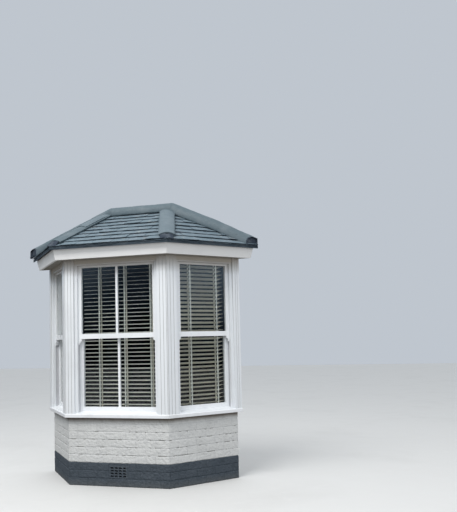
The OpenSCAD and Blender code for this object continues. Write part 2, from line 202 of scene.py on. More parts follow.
# %% Two soft lamps
def soft_lamp(name, size, power, place, target, colour):
    lamp = bpy.data.lights.new(name, "AREA")
    lamp.shape = "RECTANGLE"
    lamp.size, lamp.size_y = size
    lamp.energy = power
    lamp.color = colour
    holder = bpy.data.objects.new(name, lamp)
    bpy.context.scene.collection.objects.link(holder)
    holder.location = place
    holder.rotation_euler = (Vector(target) - Vector(place)).to_track_quat("-Z", "Y").to_euler()
    return holder


soft_lamp("sky_front", (5, 4), 690, (-1.0, -5.1, 9.1), (0, 0, 1.4), (1.0, 0.985, 0.96))
fill = soft_lamp("sky_right", (4, 3), 170, (7.8, -6.2, 2.8), (0, 0, 1.3), (0.97, 0.98, 1.0))
fill.visible_glossy = False
print("lamps:", len(bpy.data.lights))

# %% [markdown]
# Every finish below is built from noise that is read at a point's own place on the object, in
# metres, so that a grain or a stain has its true size and stays where it is when the camera
# moves. These helpers are the steps that all finishes share: the noise, a band of it spread to
# other values, two colours blended by it, a colour laid over what a finish shows so far, and a
# relief.

# %% Noise, bands and blends
def new_finish(name):
    """A new finish, its tree of nodes and its shader."""
    finish = bpy.data.materials.new(name)
    finish.use_nodes = True
    return finish, finish.node_tree, finish.node_tree.nodes["Principled BSDF"]


def noise(tree, scale, detail=4.0, stretch=(1, 1, 1), turn=0.0, rough=0.55):
    place = add_node(tree, "TexCoord", {}).outputs["Object"]
    mapping = add_node(tree, "Mapping", {"Vector": place, "Scale": stretch,
                                         "Rotation": (0, 0, -turn)})
    pattern = add_node(tree, "TexNoise", {"Vector": mapping.outputs["Vector"], "Scale": scale,
                                          "Detail": detail, "Roughness": rough})
    return pattern.outputs["Fac"]


def band(tree, source, low, high, out_low, out_high):
    ends = {"From Min": low, "From Max": high, "To Min": out_low, "To Max": out_high}
    return add_node(tree, "MapRange", {"Value": source, **ends}).outputs["Result"]


def blend_colours(tree, factor, first, second):
    mix = add_node(tree, "Mix", {"Factor": factor, "A": first, "B": second}, data_type="RGBA")
    return mix.outputs["Result"]


def cover(finish, amount, colour):
    """Blends a colour over what a finish shows so far."""
    tree = finish.node_tree
    shown = tree.nodes["Principled BSDF"].inputs["Base Color"]
    tree.links.new(blend_colours(tree, amount, shown.links[0].from_socket, colour), shown)


def relief(tree, shader, source, depth, strength):
    """Raises and lowers the surface by a source."""
    bump = add_node(tree, "Bump", {"Height": source, "Distance": depth, "Strength": strength})
    feed(tree, shader, {"Normal": bump.outputs["Normal"]})


print("helpers: a new finish, noise, a band of it, a blend, a covering colour, a relief")

# %% [markdown]
# Paint, render and weathered slate are all one kind of surface: a base colour, soft stains, fine
# worn specks, a gloss that changes in patches and a fine bump. So one helper makes the whole chain
# once. Where a brush has left marks, its noise is stretched along them.

# %% A coat of paint
def coat(name, base, stain, worn, rough, patch=3.0, speckle=40.0, bump=0.25, grain=180.0,
         stretch=(1, 1, 1), turn=0.0, stain_share=(0.52, 0.75), depth=0.001):
    """A paint or render: base colour, soft stains, fine worn specks, uneven gloss, fine bump."""
    finish, tree, shader = new_finish(name)
    stains = band(tree, noise(tree, patch, 5.0), *stain_share, 0.0, 0.8)
    specks = band(tree, noise(tree, speckle, 3.0, stretch, turn), 0.60, 0.75, 0.0, 0.6)
    gloss = band(tree, noise(tree, patch * 4, 4.0), 0.3, 0.7, rough - 0.08, rough + 0.08)
    colour = blend_colours(tree, specks, blend_colours(tree, stains, base, stain), worn)
    feed(tree, shader, {"Base Color": colour, "Roughness": gloss})
    relief(tree, shader, noise(tree, grain, 3.0, stretch, turn), depth, bump)
    return finish


pale_floor = coat("pale_floor", (0.62, 0.62, 0.61), (0.58, 0.58, 0.57), (0.64, 0.64, 0.63), 0.75,
                  patch=0.8, speckle=6.0, bump=0.05, grain=60.0)
floor.data.materials.append(pale_floor)
print("finish on the floor:", floor.data.materials[0].name)

# %% [markdown]
# A finish can be blended into another colour by the height of a point: painted shade under the
# eaves and on the upper slats, a painted shadow with some dirt under the sill, scuffs along the
# ground. Noise makes that height a little uneven, so that the blend never ends in a ruled line.

# %% Painted shade, dirt and scuffs by height
def height(tree, scale, amount):
    """How high a point is, made uneven by noise."""
    place = add_node(tree, "TexCoord", {}).outputs["Object"]
    upwards = add_node(tree, "SeparateXYZ", {"Vector": place}).outputs["Z"]
    uneven = add_node(tree, "Math", {0: noise(tree, scale, 3.0), 1: amount, 2: upwards},
                      operation="MULTIPLY_ADD")
    return uneven.outputs[0]


def darker_above(finish, low, high, share, colour):
    """Covers a finish, from not at all at a low height to a full share at a high one."""
    tree = finish.node_tree
    cover(finish, band(tree, height(tree, 9.0, 0.02), low, high, 0.0, share), colour)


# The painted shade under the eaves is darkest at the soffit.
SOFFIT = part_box("soffit")[0][2]
print("the soffit, where dirt gathers most, is", round(SOFFIT, 3), "m up")

# %% [markdown]
# The bay has three faces: the left one, the front and the right one. The two side faces turn
# back by the same angle, to the plain plane where the bay is fixed. Many pieces are made lying
# along the X axis, as on a bench, and are then carried to their face. These values repeat the
# measured plan, in metres. An offset is the distance out from the brickwork, so half_width and
# wall_reach say how far from the middle a face's corner and its rear end lie at any offset.

# %% The plan of the bay
FRONT_HALF, WALL_HALF, PROJECTION, EAVES = 0.582, 1.150, 0.650, 0.218
DEPTH = PROJECTION + EAVES
WALL_Y = DEPTH / 2
CANT = math.atan2(PROJECTION, WALL_HALF - FRONT_HALF)
SIDE_LENGTH = PROJECTION / math.sin(CANT)
FACE_NAME = {-1: "left", 0: "front", 1: "right"}


def move(x, y, z):
    return Matrix.Translation((x, y, z))


def rotate(angle, axis):
    return Matrix.Rotation(angle, 4, axis)


def face_place(k):
    """The matrix that carries a piece from the bench to face k, its street side towards -Y."""
    return move(k * FRONT_HALF, WALL_Y - PROJECTION, 0) @ rotate(k * CANT, "Z")


def half_width(offset):
    return FRONT_HALF + offset * math.tan(CANT / 2)


def wall_reach(offset):
    return WALL_HALF + offset / math.sin(CANT)


def face_span(k, half, inner, outer):
    """Where a layer of face k starts and ends on the bench before it is cut. The front one is as
    wide on both sides; a side one starts a bit past its corner, inner, and runs back to outer."""
    return {0: (-half, half), 1: (-inner, outer), -1: (-outer, inner)}[k]


print("side faces turn by", round(math.degrees(CANT), 2), "degrees and are",
      round(SIDE_LENGTH, 3), "m long")

# %% [markdown]
# The measured timber has perfectly sharp edges, which never catch the light. Sanded and painted
# timber has small round ones. So a copy of each timber part is cleaned up, its flat faces are
# made whole again, and a narrow bevel runs along its edges. The copy then stands for the
# measured part, which stays hidden behind it for its weight and its contacts.

# %% Copy a measured part and round its edges
def pick(piece):
    clear_selection()
    piece.select_set(True)
    bpy.context.view_layer.objects.active = piece


def apply_modifier(piece, kind, **values):
    pick(piece)
    modifier = piece.modifiers.new(kind.lower(), kind)
    for key, value in values.items():
        setattr(modifier, key, value)
    bpy.ops.object.modifier_apply(modifier=modifier.name)


def smooth(piece, degrees):
    pick(piece)
    bpy.ops.object.shade_smooth_by_angle(angle=math.radians(degrees))


def whole_copy(node, name):
    """A copy of a measured part with its corners merged and its flat faces whole."""
    pick(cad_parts[node])
    bpy.ops.object.duplicate()
    piece = bpy.context.object
    piece.name = name
    place = piece.matrix_world.copy()
    piece.parent = None
    piece.matrix_world = place
    piece.data.materials.clear()
    bpy.ops.object.mode_set(mode="EDIT")
    bpy.ops.mesh.select_all(action="SELECT")
    bpy.ops.mesh.remove_doubles(threshold=0.00002)
    bpy.ops.mesh.tris_convert_to_quads(face_threshold=math.radians(0.6),
                                       shape_threshold=math.radians(175))
    bpy.ops.mesh.normals_make_consistent(inside=False)
    bpy.ops.object.mode_set(mode="OBJECT")
    return piece


def set_finish(piece, finish):
    piece.data.materials.clear()
    piece.data.materials.append(finish)
    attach(piece, "root")


def rounded(node, width, finish, segments=2, shape=None):
    """A rounded copy that replaces its measured part; shape may change it before it is rounded."""
    piece = whole_copy(node, node + "_rounded")
    if shape:
        shape(piece)
    apply_modifier(piece, "BEVEL", width=width, segments=segments, limit_method="ANGLE",
                   angle_limit=math.radians(32), use_clamp_overlap=True, miter_outer="MITER_ARC")
    apply_modifier(piece, "TRIANGULATE")
    smooth(piece, 40)
    apply_modifier(piece, "WEIGHTED_NORMAL", keep_sharp=True)
    set_finish(piece, finish)
    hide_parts(node)
    return piece


print("helpers: pick, apply a modifier, smooth, copy whole, give a finish, round")

# %% [markdown]
# The outside timber is painted white, in several coats laid with a brush. Up and down the posts
# the brush follows the grain, along the sill and the boards under the eaves it runs sideways, so
# the paints differ in the direction of their marks. A little grey dirt gathers in patches, and the
# sashes are a touch cleaner and glossier than the posts and linings. The board on the right gets a
# darker copy of the board paint, a painted shade, with a little less gloss. Towards the soffit,
# posts and sashes are painted darker and browner, a painted shade of the eaves, and the frieze and
# the soffit are painted in that brown shade all over.

# %% Timber paints
post_paint = coat("post_paint", (0.76, 0.785, 0.81), (0.66, 0.68, 0.70), (0.70, 0.72, 0.745), 0.38,
                  patch=2.2, speckle=26.0, bump=0.22, grain=120.0, stretch=(1, 1, 0.06))
sash_paint = coat("sash_paint", (0.82, 0.84, 0.86), (0.72, 0.74, 0.76), (0.77, 0.79, 0.81), 0.30,
                  patch=3.0, speckle=30.0, bump=0.15, grain=140.0, stretch=(0.25, 0.25, 0.25))
sill_paint = coat("sill_paint", (0.80, 0.815, 0.835), (0.66, 0.67, 0.68), (0.70, 0.71, 0.72), 0.40,
                  patch=5.0, speckle=22.0, bump=0.25, grain=110.0, stretch=(0.1, 0.1, 1))
board_paint = coat("board_paint", (0.89, 0.89, 0.885), (0.79, 0.79, 0.785),
                   (0.83, 0.83, 0.825), 0.42,
                   patch=2.4, speckle=18.0, bump=0.22, grain=110.0, stretch=(0.08, 0.08, 1))
# Painted shade: a darker copy of the board paint, with a little less gloss, for the right-hand
# board.
shaded_board_paint = coat("shaded_board_paint", (0.79, 0.79, 0.785), (0.70, 0.70, 0.695),
                        (0.74, 0.74, 0.735), 0.50,
                        patch=2.4, speckle=18.0, bump=0.22, grain=110.0, stretch=(0.08, 0.08, 1))
# Painted shade: the frieze and the soffit are painted a dark warm brown for the shade under the
# eaves.
frieze_shade_paint = coat("frieze_shade_paint", (0.37, 0.335, 0.285), (0.31, 0.28, 0.235),
                    (0.34, 0.31, 0.265), 0.55,
                    patch=3.0, speckle=20.0, bump=0.2, grain=110.0, stretch=(0.1, 0.1, 1))
soffit_paint = coat("soffit_paint", (0.29, 0.265, 0.23), (0.24, 0.215, 0.18),
                    (0.265, 0.245, 0.21), 0.6, patch=4.0, speckle=24.0, bump=0.2, grain=110.0)
# Painted shade of the eaves: posts and sashes turn darker and browner between these heights, up to
# the soffit.
EAVES_SHADE_FOOT, EAVES_SHADE_TOP = SOFFIT - 0.17, SOFFIT - 0.02
for paint in (post_paint, sash_paint):
    darker_above(paint, EAVES_SHADE_FOOT, EAVES_SHADE_TOP, 0.85, (0.30, 0.265, 0.22))
print("seven timber paints, with grime from", round(EAVES_SHADE_FOOT, 3), "m up")

# %% [markdown]
# Each post is one wide piece with narrow grooves run down its street faces, so that it looks
# like a bundle of slender ones. The grooves could be painted on as dark lines, but only a real
# groove shades itself from every side. On the real posts they are spread further from the arris
# than on the measured part, so the groove's corners are moved sideways. Then the faces inside the
# grooves are found by their depth and normal and get a darker finish of their own: dirt that
# settles where no brush reaches, and a painted shade of the groove.

# %% Posts with dirt and painted shade in their grooves
POST_FACE, GROOVE = 0.042, 0.005
CORNER_GROOVES = {0.018: 0.0075, 0.036: 0.042, 0.057: 0.080}    # measured and real place
CLEAR = 0.0008                                                  # past a rounded edge
# Dirt with painted shade: a darker grey for the faces inside the grooves.
groove_dirt_and_shade = coat("groove_dirt_and_shade", (0.49, 0.49, 0.48), (0.36, 0.36, 0.35), (0.54, 0.54, 0.53), 0.8,
                   patch=9.0, speckle=40.0, bump=0.3, grain=120.0, stretch=(1, 1, 0.2))


def spread_grooves(post, k):
    """Moves the grooves of a corner post to their real places, from the arris outwards."""
    arris = POST_FACE * math.tan(CANT / 2)
    for face, start, way in ((0, k * half_width(POST_FACE), -k), (k, -k * arris, k)):
        bench = face_place(face)
        for vertex in post.data.vertices:
            place = bench.inverted() @ vertex.co
            if abs(POST_FACE + place.y) > GROOVE + 0.001:
                continue
            for old, new in CORNER_GROOVES.items():
                if abs((place.x - start) * way - old) < GROOVE:
                    place.x += way * (new - old)
                    vertex.co = bench @ place
                    break


def darken_between(piece, sides, front, back, finish):
    """Gives faces between two depths, which look sideways or to the street, a second, darker
    finish: dirt and painted shade.
    """
    piece.data.materials.append(finish)
    benches = [(face_place(k).inverted(), face_place(k).inverted().to_3x3()) for k in sides]
    found = 0
    for face in piece.data.polygons:
        for place, turned in benches:
            depth, normal = (place @ face.center).y, turned @ face.normal
            if front < depth < back and (abs(normal.x) > 0.95 or normal.y < -0.95):
                face.material_index = 1
                found += 1
                break
    print(piece.name, "has", found, "dirty faces")


for k in (-1, 1):
    corner = rounded("post_" + FACE_NAME[k], 0.0010, post_paint,
                     shape=lambda post: spread_grooves(post, k))
    beside_wall = rounded("wall_post_" + FACE_NAME[k], 0.0010, post_paint)
    for post in (corner, beside_wall):
        darken_between(post, (0, k), CLEAR - POST_FACE, CLEAR + GROOVE - POST_FACE, groove_dirt_and_shade)

# %% [markdown]
# The rest of the timber is rounded in one loop. The radius follows the use: sashes are planed
# and handled, so they are a little rounder than the linings, and the sill is rounder still. The
# outer run of each frame, which lies open beside the lower sash, gets a darker finish as the
# grooves do: dirt, and a painted shade of the recess.

# %% Frames, sashes and sills
RUN_FRONT, RUN_BACK = 0.007, 0.042
# Dirt with painted shade: a darker grey for the open run beside the lower sash.
run_dirt_and_shade = coat("run_dirt_and_shade", (0.52, 0.525, 0.55), (0.42, 0.425, 0.44), (0.57, 0.575, 0.59), 0.6,
                patch=5.0, speckle=30.0, bump=0.25, grain=120.0, stretch=(1, 1, 0.06))
for k, side in FACE_NAME.items():
    window = rounded("frame_" + side, 0.0014, post_paint)
    darken_between(window, (k,), RUN_FRONT + 0.001, RUN_BACK + 0.0005, run_dirt_and_shade)
    rounded("upper_sash_" + side, 0.0016, sash_paint)
    rounded("lower_sash_" + side, 0.0016, sash_paint)
    rounded("sill_" + side, 0.0018, sill_paint, 3)
    rounded("fascia_" + side, 0.0018, shaded_board_paint if k > 0 else board_paint)
rounded("sill_board", 0.003, sash_paint, 3)
rounded("head_beam", 0.0015, frieze_shade_paint)
rounded("soffit", 0.001, soffit_paint)

# %% [markdown]
# Clear glass is thin, smooth and a little dark, because the room behind it is dark. It is
# made as real glass: light passes through the pane, the front mirrors the pale sky, and a faint
# blue tint stands for the depth of the pane. A slow unevenness in its surface bends the
# mirrored sky slightly, as drawn glass does.

# %% Window glass
window_glass, glass_tree, glass_shader = new_finish("window_glass")
feed(glass_tree, glass_shader, {"Base Color": (0.93, 0.955, 0.96), "Roughness": 0.0, "IOR": 1.5,
                                "Transmission Weight": 1.0})
relief(glass_tree, glass_shader, noise(glass_tree, 3.0, 1.0), 0.002, 0.04)
for side in FACE_NAME.values():
    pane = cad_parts["glass_" + side]
    pane.data.materials.clear()
    pane.data.materials.append(window_glass)
print("glass in", len(FACE_NAME), "windows")

# %% [markdown]
# A bay on its own is open at the back, so bright daylight would show between the slats, where a
# real bay has a dark room behind it. A photographer would hang a black cloth there. This one is a
# black sheet of painted shade that stands for the unlit room. It is seen only by light that has
# passed through a pane, so it darkens the view into the room and leaves every other view of the
# bay alone.

# %% Black sheet of painted shade behind the room side
# Painted shade for the unlit room: a black sheet that is seen only through the panes.
room_shade_cloth, cloth_tree, cloth_shader = new_finish("room_shade_cloth")
feed(cloth_tree, cloth_shader, {"Base Color": (0.004, 0.004, 0.005), "Roughness": 1.0,
                                "Specular IOR Level": 0.0})
clear_selection()
bpy.ops.mesh.primitive_plane_add(size=8, location=(0, WALL_Y + 0.05, 1.5),
                                 rotation=(math.pi / 2, 0, 0))
cloth = bpy.context.object
cloth.name = "room_shade_cloth"
cloth.data.materials.append(room_shade_cloth)
cloth.visible_camera = cloth.visible_diffuse = cloth.visible_glossy = False
cloth.visible_shadow = cloth.visible_volume_scatter = False
print("black cloth hung at", round(cloth.location.y, 3))

# %% [markdown]
# Pieces that aren't copies of measured ones start on the bench as a block at its size and place.
# Planes cut them, and what repeats is copied, each copy with its own mesh. When all of a face's
# pieces lie on the bench, they are joined and carried to the face in one move.

# %% Blocks, cuts and copies
def block(name, low, high):
    """A block between two corners, as a primitive at its size and place."""
    clear_selection()
    middle = [(a + b) / 2 for a, b in zip(low, high)]
    sides = [b - a for a, b in zip(low, high)]
    bpy.ops.mesh.primitive_cube_add(size=1, location=middle, scale=sides)
    piece = bpy.context.object
    piece.name = name
    bpy.ops.object.transform_apply(location=True, rotation=True, scale=True)
    return piece


def cut(piece, point, normal, drop=False):
    """Cuts a piece with a plane. drop takes away what the normal points to, and closes the cut."""
    pick(piece)
    bpy.ops.object.mode_set(mode="EDIT")
    bpy.ops.mesh.select_all(action="SELECT")
    bpy.ops.mesh.bisect(plane_co=point, plane_no=normal, use_fill=drop, clear_outer=drop,
                        threshold=0.00001)
    bpy.ops.object.mode_set(mode="OBJECT")


def copy_of(piece, name):
    twin = piece.copy()
    twin.data = piece.data.copy()
    twin.name = name
    bpy.context.scene.collection.objects.link(twin)
    return twin


def join(pieces, name):
    clear_selection()
    for piece in pieces:
        piece.select_set(True)
    bpy.context.view_layer.objects.active = pieces[0]
    bpy.ops.object.join()
    pieces[0].name = name
    pieces[0].data.name = name
    return pieces[0]


def carry(piece, k):
    """Takes a piece from the bench to its face and fixes its place in the mesh."""
    piece.data.transform(face_place(k) @ piece.matrix_world)
    piece.matrix_world = Matrix.Identity(4)


print("helpers: block, cut, copy, join, carry")

# %% [markdown]
# Each window has a Venetian blind on the room side: thin painted slats, a little arched across
# their depth, that hang on woven ladder tapes. One slat is made from a thin block that is cut
# across its depth, then its middle is raised. Copies are tilted and hung at their real distance,
# with a degree or so of difference from one to the next, as no blind hangs perfectly.

# %% Make one slat
SLAT_DEPTH, SLAT_PITCH, SLAT_HALF_THICK, SLAT_ARCH = 0.050, 0.044, 0.0009, 0.0032
SLAT_TILT = {-1: math.radians(-24), 0: math.radians(10), 1: math.radians(-24)}
SLAT_CUTS = (-0.36, -0.2, 0.0, 0.2, 0.36)                       # parts of its depth


def slat(length):
    piece = block("slat", (-length / 2, -SLAT_DEPTH / 2, -SLAT_HALF_THICK),
                  (length / 2, SLAT_DEPTH / 2, SLAT_HALF_THICK))
    for part in SLAT_CUTS:
        cut(piece, (0, part * SLAT_DEPTH, 0), (0, 1, 0))
    for vertex in piece.data.vertices:
        vertex.co.z += SLAT_ARCH * (1 - (2 * vertex.co.y / SLAT_DEPTH) ** 2)
    return piece


print("a slat has", len(slat(0.9).data.polygons), "faces")
bpy.ops.object.delete()

# %% [markdown]
# The slats are painted a warm stone colour with a soft sheen. Towards the top they are painted
# darker, a painted shade of the head and the eaves. The tapes are woven cotton, so their finish
# has fine threads and no gloss.

# %% Blind finishes
slat_paint = coat("slat_paint", (0.71, 0.67, 0.56), (0.625, 0.585, 0.485),
                  (0.665, 0.625, 0.52), 0.42,
                  patch=6.0, speckle=50.0, bump=0.08, grain=200.0, stretch=(0.05, 0.05, 1))
# Painted shade: the upper slats are painted darker towards the head of the blind.
darker_above(slat_paint, SOFFIT - 0.60, SOFFIT - 0.10, 0.62, (0.20, 0.19, 0.17))

woven_tape, tape_tree, tape_shader = new_finish("woven_tape")
tape_place = add_node(tape_tree, "TexCoord", {}).outputs["Object"]
threads = add_node(tape_tree, "TexWave", {"Vector": tape_place, "Scale": 300.0, "Distortion": 1.5},
                   bands_direction="Z").outputs["Fac"]
cotton = blend_colours(tape_tree, threads, (0.80, 0.785, 0.70), (0.90, 0.88, 0.80))
feed(tape_tree, tape_shader, {"Base Color": cotton, "Roughness": 0.9})
relief(tape_tree, tape_shader, threads, 0.0004, 1.0)
print("slat paint and woven tape")

# %% [markdown]
# A tape is two thin strips, one before and one behind the slats, with a rung under every slat.
# Seen through the glass the strips are a pair of pale lines, so each is a real strip that hangs
# clear of the slats' edges.

# %% Ladder tapes
BLIND_FOOT, BLIND_HEAD = 0.800, 2.440
RAIL_TALL, BAR_TALL = 0.045, 0.016
TAPE_HALF, RUNG_HALF, TAPE_GAP, TAPE_HALF_THICK = 0.0075, 0.0065, 0.0016, 0.0005
SLAT_COUNT = int((BLIND_HEAD - RAIL_TALL - BAR_TALL - BLIND_FOOT) / SLAT_PITCH)


def slat_height(number):
    return BLIND_FOOT + number * SLAT_PITCH


def tape_at(x, centre, tilt):
    """The strips and rungs of the tape at place x, round slats whose depth and tilt are given."""
    reach = SLAT_DEPTH / 2 * math.cos(tilt)
    pieces = []
    for side in (-1, 1):
        depth = centre + side * (reach + TAPE_GAP)
        pieces.append(block("strip", (x - TAPE_HALF, depth - TAPE_HALF_THICK, BLIND_FOOT + 0.004),
                            (x + TAPE_HALF, depth + TAPE_HALF_THICK, BLIND_HEAD - 0.020)))
    rung = block("rung", (x - RUNG_HALF, -reach - 0.002, -0.0004),
                 (x + RUNG_HALF, reach + 0.002, 0.0004))
    for number in range(1, SLAT_COUNT + 1):
        twin = copy_of(rung, "rung")
        twin.data.transform(move(0, centre, slat_height(number) - 0.0022) @ rotate(tilt, "X"))
        pieces.append(twin)
    bpy.data.objects.remove(rung)
    return pieces


print("slats that fit between rail and bar:", SLAT_COUNT)

# %% [markdown]
# A blind is put together on the bench: head rail, slats, bottom bar and tapes. The front blind is
# nearly open, the side ones are turned the other way and half closed. The side blinds hang close
# behind their frames and stop just short of the back of the bay, so their ends are cut along it.

# %% Hang the three blinds
chance = random.Random(7)


def hung_slats(start, end, centre, tilt):
    """Slats between two places of a face, each with a little tilt and slant of its own."""
    one = slat(end - start)
    slats = []
    for number in range(1, SLAT_COUNT + 1):
        twin = copy_of(one, "slat")
        tilted = tilt + math.radians(chance.uniform(-1.6, 1.6))
        sits = slat_height(number) + chance.uniform(-0.0008, 0.0008)
        slants = rotate(chance.uniform(-0.0012, 0.0012), "Y")
        twin.data.transform(move((start + end) / 2, centre, sits) @ slants @ rotate(tilted, "X"))
        slats.append(twin)
    bpy.data.objects.remove(one)
    return slats


def blind(k, start, end, front, tapes):
    """The blind of face k, from its two ends, the depth of its front and its tapes' places."""
    centre, back = front + SLAT_DEPTH / 2, front + SLAT_DEPTH
    slats = hung_slats(start, end, centre, SLAT_TILT[k])
    rail = block("rail", (start, front - 0.002, BLIND_HEAD - RAIL_TALL),
                 (end, back + 0.002, BLIND_HEAD))
    bar = block("bar", (start, front, BLIND_FOOT), (end, back, BLIND_FOOT + BAR_TALL))
    for wood in (rail, bar):
        apply_modifier(wood, "BEVEL", width=0.003, segments=3)
    strips = [piece for x in tapes for piece in tape_at(x, centre, SLAT_TILT[k])]
    woods = join(slats + [rail, bar], "blind_slats_" + FACE_NAME[k])
    webs = join(strips, "blind_tapes_" + FACE_NAME[k])
    for piece, finish in ((woods, slat_paint), (webs, woven_tape)):
        carry(piece, k)
        if k:
            cut(piece, (0, WALL_Y - 0.002, 0), (0, 1, 0), drop=True)
        set_finish(piece, finish)
    smooth(woods, 30)
    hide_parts("blind_" + FACE_NAME[k])
    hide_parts("blind_" + FACE_NAME[k])
    print("blind", FACE_NAME[k], "has", len(slats), "slats")


blind(0, -0.500, 0.500, 0.212, (-0.309, 0.0, 0.309))
blind(-1, -0.900, -0.210, 0.106, (-0.683, -0.347))
blind(1, 0.210, 0.900, 0.106, (0.347, 0.683))

# %% [markdown]
# The base is brickwork in stretcher bond under thick masonry paint, white above and dark
# blue-grey on the plinth. Paint has filled the joints unevenly, so they read as soft, broken
# lines. One brick is made from a block: its edges are rounded, only a slice at its face is kept,
# which is cut into a few strips, and small moves of its corners take away the machine-made look.
# Four such bricks, each a little different, are enough to lay the whole wall.

# %% Make four bricks
BRICK = Vector((0.215, 0.100, 0.072))
BRICK_FACE = 0.018                                              # how much of its depth is kept
COURSE, JOINT, PLINTH_TOP, BRICK_TOP = 0.082, 0.010, 0.246, 0.727
luck = random.Random(21)


def brick(number):
    piece = block("brick_kind_%d" % number, (0, 0, 0), BRICK)
    apply_modifier(piece, "BEVEL", width=0.0048, segments=2)
    cut(piece, (0, BRICK_FACE, 0), (0, 1, 0), drop=True)
    for part in (0.3, 0.65):
        cut(piece, (BRICK.x * part, 0, 0), (1, 0, 0))
    for vertex in piece.data.vertices:
        vertex.co += Vector((0, luck.uniform(-0.0014, 0.0008), luck.uniform(-0.0018, 0.0018)))
    return piece


brick_kinds = [brick(number) for number in range(4)]
print("a brick has", len(brick_kinds[0].data.polygons), "faces")

# %% [markdown]
# Masonry paint is matt and chalky. Its white has faint grey rain marks, and the plinth's
# blue-grey is scuffed paler along the ground. The line between the two colours was cut in by
# hand, so the white starts at a slightly wavy height. Close under the sill a thin dark band is
# painted in, partly dirt and partly the painted shadow of the sill.

# %% Masonry paints
WHITE_EDGE = (0.250, 0.262, 0.016, 1.0)                         # low, high, unevenness, share
GROUND_SCUFF = (0.02, 0.10, 0.05, 0.35)
AIR_BRICK_SCUFF = (0.02, 0.10, 0.05, 0.5)


def masonry(name, base, stain, worn, rough, splash, splash_colour):
    """A chalky paint over brick, with a splash colour that fades out between two heights."""
    finish = coat(name, base, stain, worn, rough, patch=4.0, speckle=38.0, bump=1.0, grain=36.0,
                  depth=0.0125)
    tree = finish.node_tree
    low, high, unevenness, share = splash
    cover(finish, band(tree, height(tree, 14.0, unevenness), low, high, share, 0.0), splash_colour)
    # Painted shadow of the sill, with some dirt: a thin dark band close under it.
    darker_above(finish, BRICK_TOP - 0.052, BRICK_TOP - 0.009, 0.95, (0.135, 0.115, 0.095))
    return finish


white_masonry = masonry("white_masonry", (0.60, 0.605, 0.595), (0.50, 0.505, 0.495),
                        (0.53, 0.535, 0.525), 0.82, WHITE_EDGE, (0.060, 0.075, 0.092))
dark_masonry = masonry("dark_masonry", (0.052, 0.066, 0.082), (0.066, 0.08, 0.096),
                       (0.08, 0.092, 0.106), 0.78, GROUND_SCUFF, (0.15, 0.15, 0.14))
white_joint = masonry("white_joint", (0.56, 0.565, 0.56), (0.46, 0.465, 0.46),
                      (0.50, 0.505, 0.50), 0.9, WHITE_EDGE, (0.06, 0.07, 0.08))
# Dirt with painted shade: the dark finish for the deepest parts of the joints.
joint_dirt_and_shade = masonry("joint_dirt_and_shade", (0.25, 0.245, 0.235), (0.17, 0.165, 0.155),
                     (0.36, 0.355, 0.345), 0.95, WHITE_EDGE, (0.05, 0.06, 0.07))
dark_joint = masonry("dark_joint", (0.044, 0.057, 0.071), (0.055, 0.068, 0.08),
                     (0.068, 0.08, 0.09), 0.9, GROUND_SCUFF, (0.13, 0.13, 0.12))
plaster = coat("plaster", (0.62, 0.61, 0.59), (0.55, 0.54, 0.52), (0.58, 0.57, 0.55), 0.9,
               patch=3.0, speckle=30.0, bump=0.3, grain=60.0)
print("masonry paints and plaster")

# %% [markdown]
# Each course is a row of whole bricks, with joints 10 mm wide that miss the joints of the
# courses above and below. At a corner of the bay one long and one short end meet, and change
# sides from course to course. There the two bricks are cut to the mitre of the corner, so that
# they close up to one sharp arris. At the back of the bay the last brick is cut off flush.

# %% Lay the bricks of a face
HOLE_HALF, HOLE_BOTTOM, HOLE_TOP = 0.105, 0.086, 0.220
HOLE_COURSES = (1, 2)
BRICK_FOOT, BRICK_HEAD = 0.004, 0.078                           # above the foot of a course
PAST_CORNER = 0.012                                             # cut off again by the mitre
TUCK = 0.002                                                    # into the joints at each end


def course_lengths(k, number):
    """The bricks of a course: whole ones, halves at a corner, and a few that are cut to fill it."""
    whole, half = BRICK.x, BRICK.x / 2 - JOINT / 2
    if k == 0 and number in HOLE_COURSES:
        left = (half, whole, 0.1295) if number == 1 else (whole, 0.116, 0.116)
        return (*left, 2 * HOLE_HALF, *reversed(left))
    if k == 0:
        return (half,) + (whole,) * 4 + (0.1515,) if number % 2 else (whole,) * 4 + (0.159, 0.095)
    return (half if (number % 2) == (k > 0) else whole,) + (whole,) * 4


def course_of(k, number):
    """Start and end of each brick of a course: in front from the left, else from the corner."""
    ends, at = [], -FRONT_HALF if k == 0 else 0.0
    for length in course_lengths(k, number):
        ends.append((at, at + length))
        at += length + JOINT
    if k == 0 and number in HOLE_COURSES:
        ends.pop(3)
    return [(-end, -start) for start, end in ends] if k < 0 else ends


def lay(k, low, high, finish):
    """Lays the courses of face k whose bed lies between two heights."""
    laid = []
    left, right = (-FRONT_HALF, FRONT_HALF) if k == 0 else (0, 0)
    for number in range(round(low / COURSE), math.ceil((high - 0.001) / COURSE)):
        for start, end in course_of(k, number):
            twin = copy_of(luck.choice(brick_kinds), "laid")
            start -= TUCK + (PAST_CORNER if abs(start - left) < 0.001 else 0)
            end += TUCK + (PAST_CORNER if abs(end - right) < 0.001 else 0)
            bottom, top = number * COURSE + BRICK_FOOT, min(number * COURSE + BRICK_HEAD, high)
            stretch = Matrix.Diagonal(((end - start) / BRICK.x, 1, (top - bottom) / BRICK.z, 1))
            place = move(start, luck.uniform(-0.0008, 0.0014),
                         bottom + luck.uniform(-0.0013, 0.0013))
            twin.data.transform(place @ rotate(luck.uniform(-0.007, 0.007), "Y") @ stretch)
            twin.data.materials.append(finish)
            laid.append(twin)
    return laid


print("a course in front:", [round(b - a, 3) for a, b in course_of(0, 0)])

# %% [markdown]
# Over the wall lies a skin of mortar whose surface comes and goes: where it comes forward the
# joint is nearly full, where it falls back the joint shows dark. It is a fine grid, moved by noise
# and given a thickness. In the level joints it lies deeper than elsewhere, and wherever it lies
# deepest its faces get a dark finish, partly dirt and partly painted shade of the deep joint.

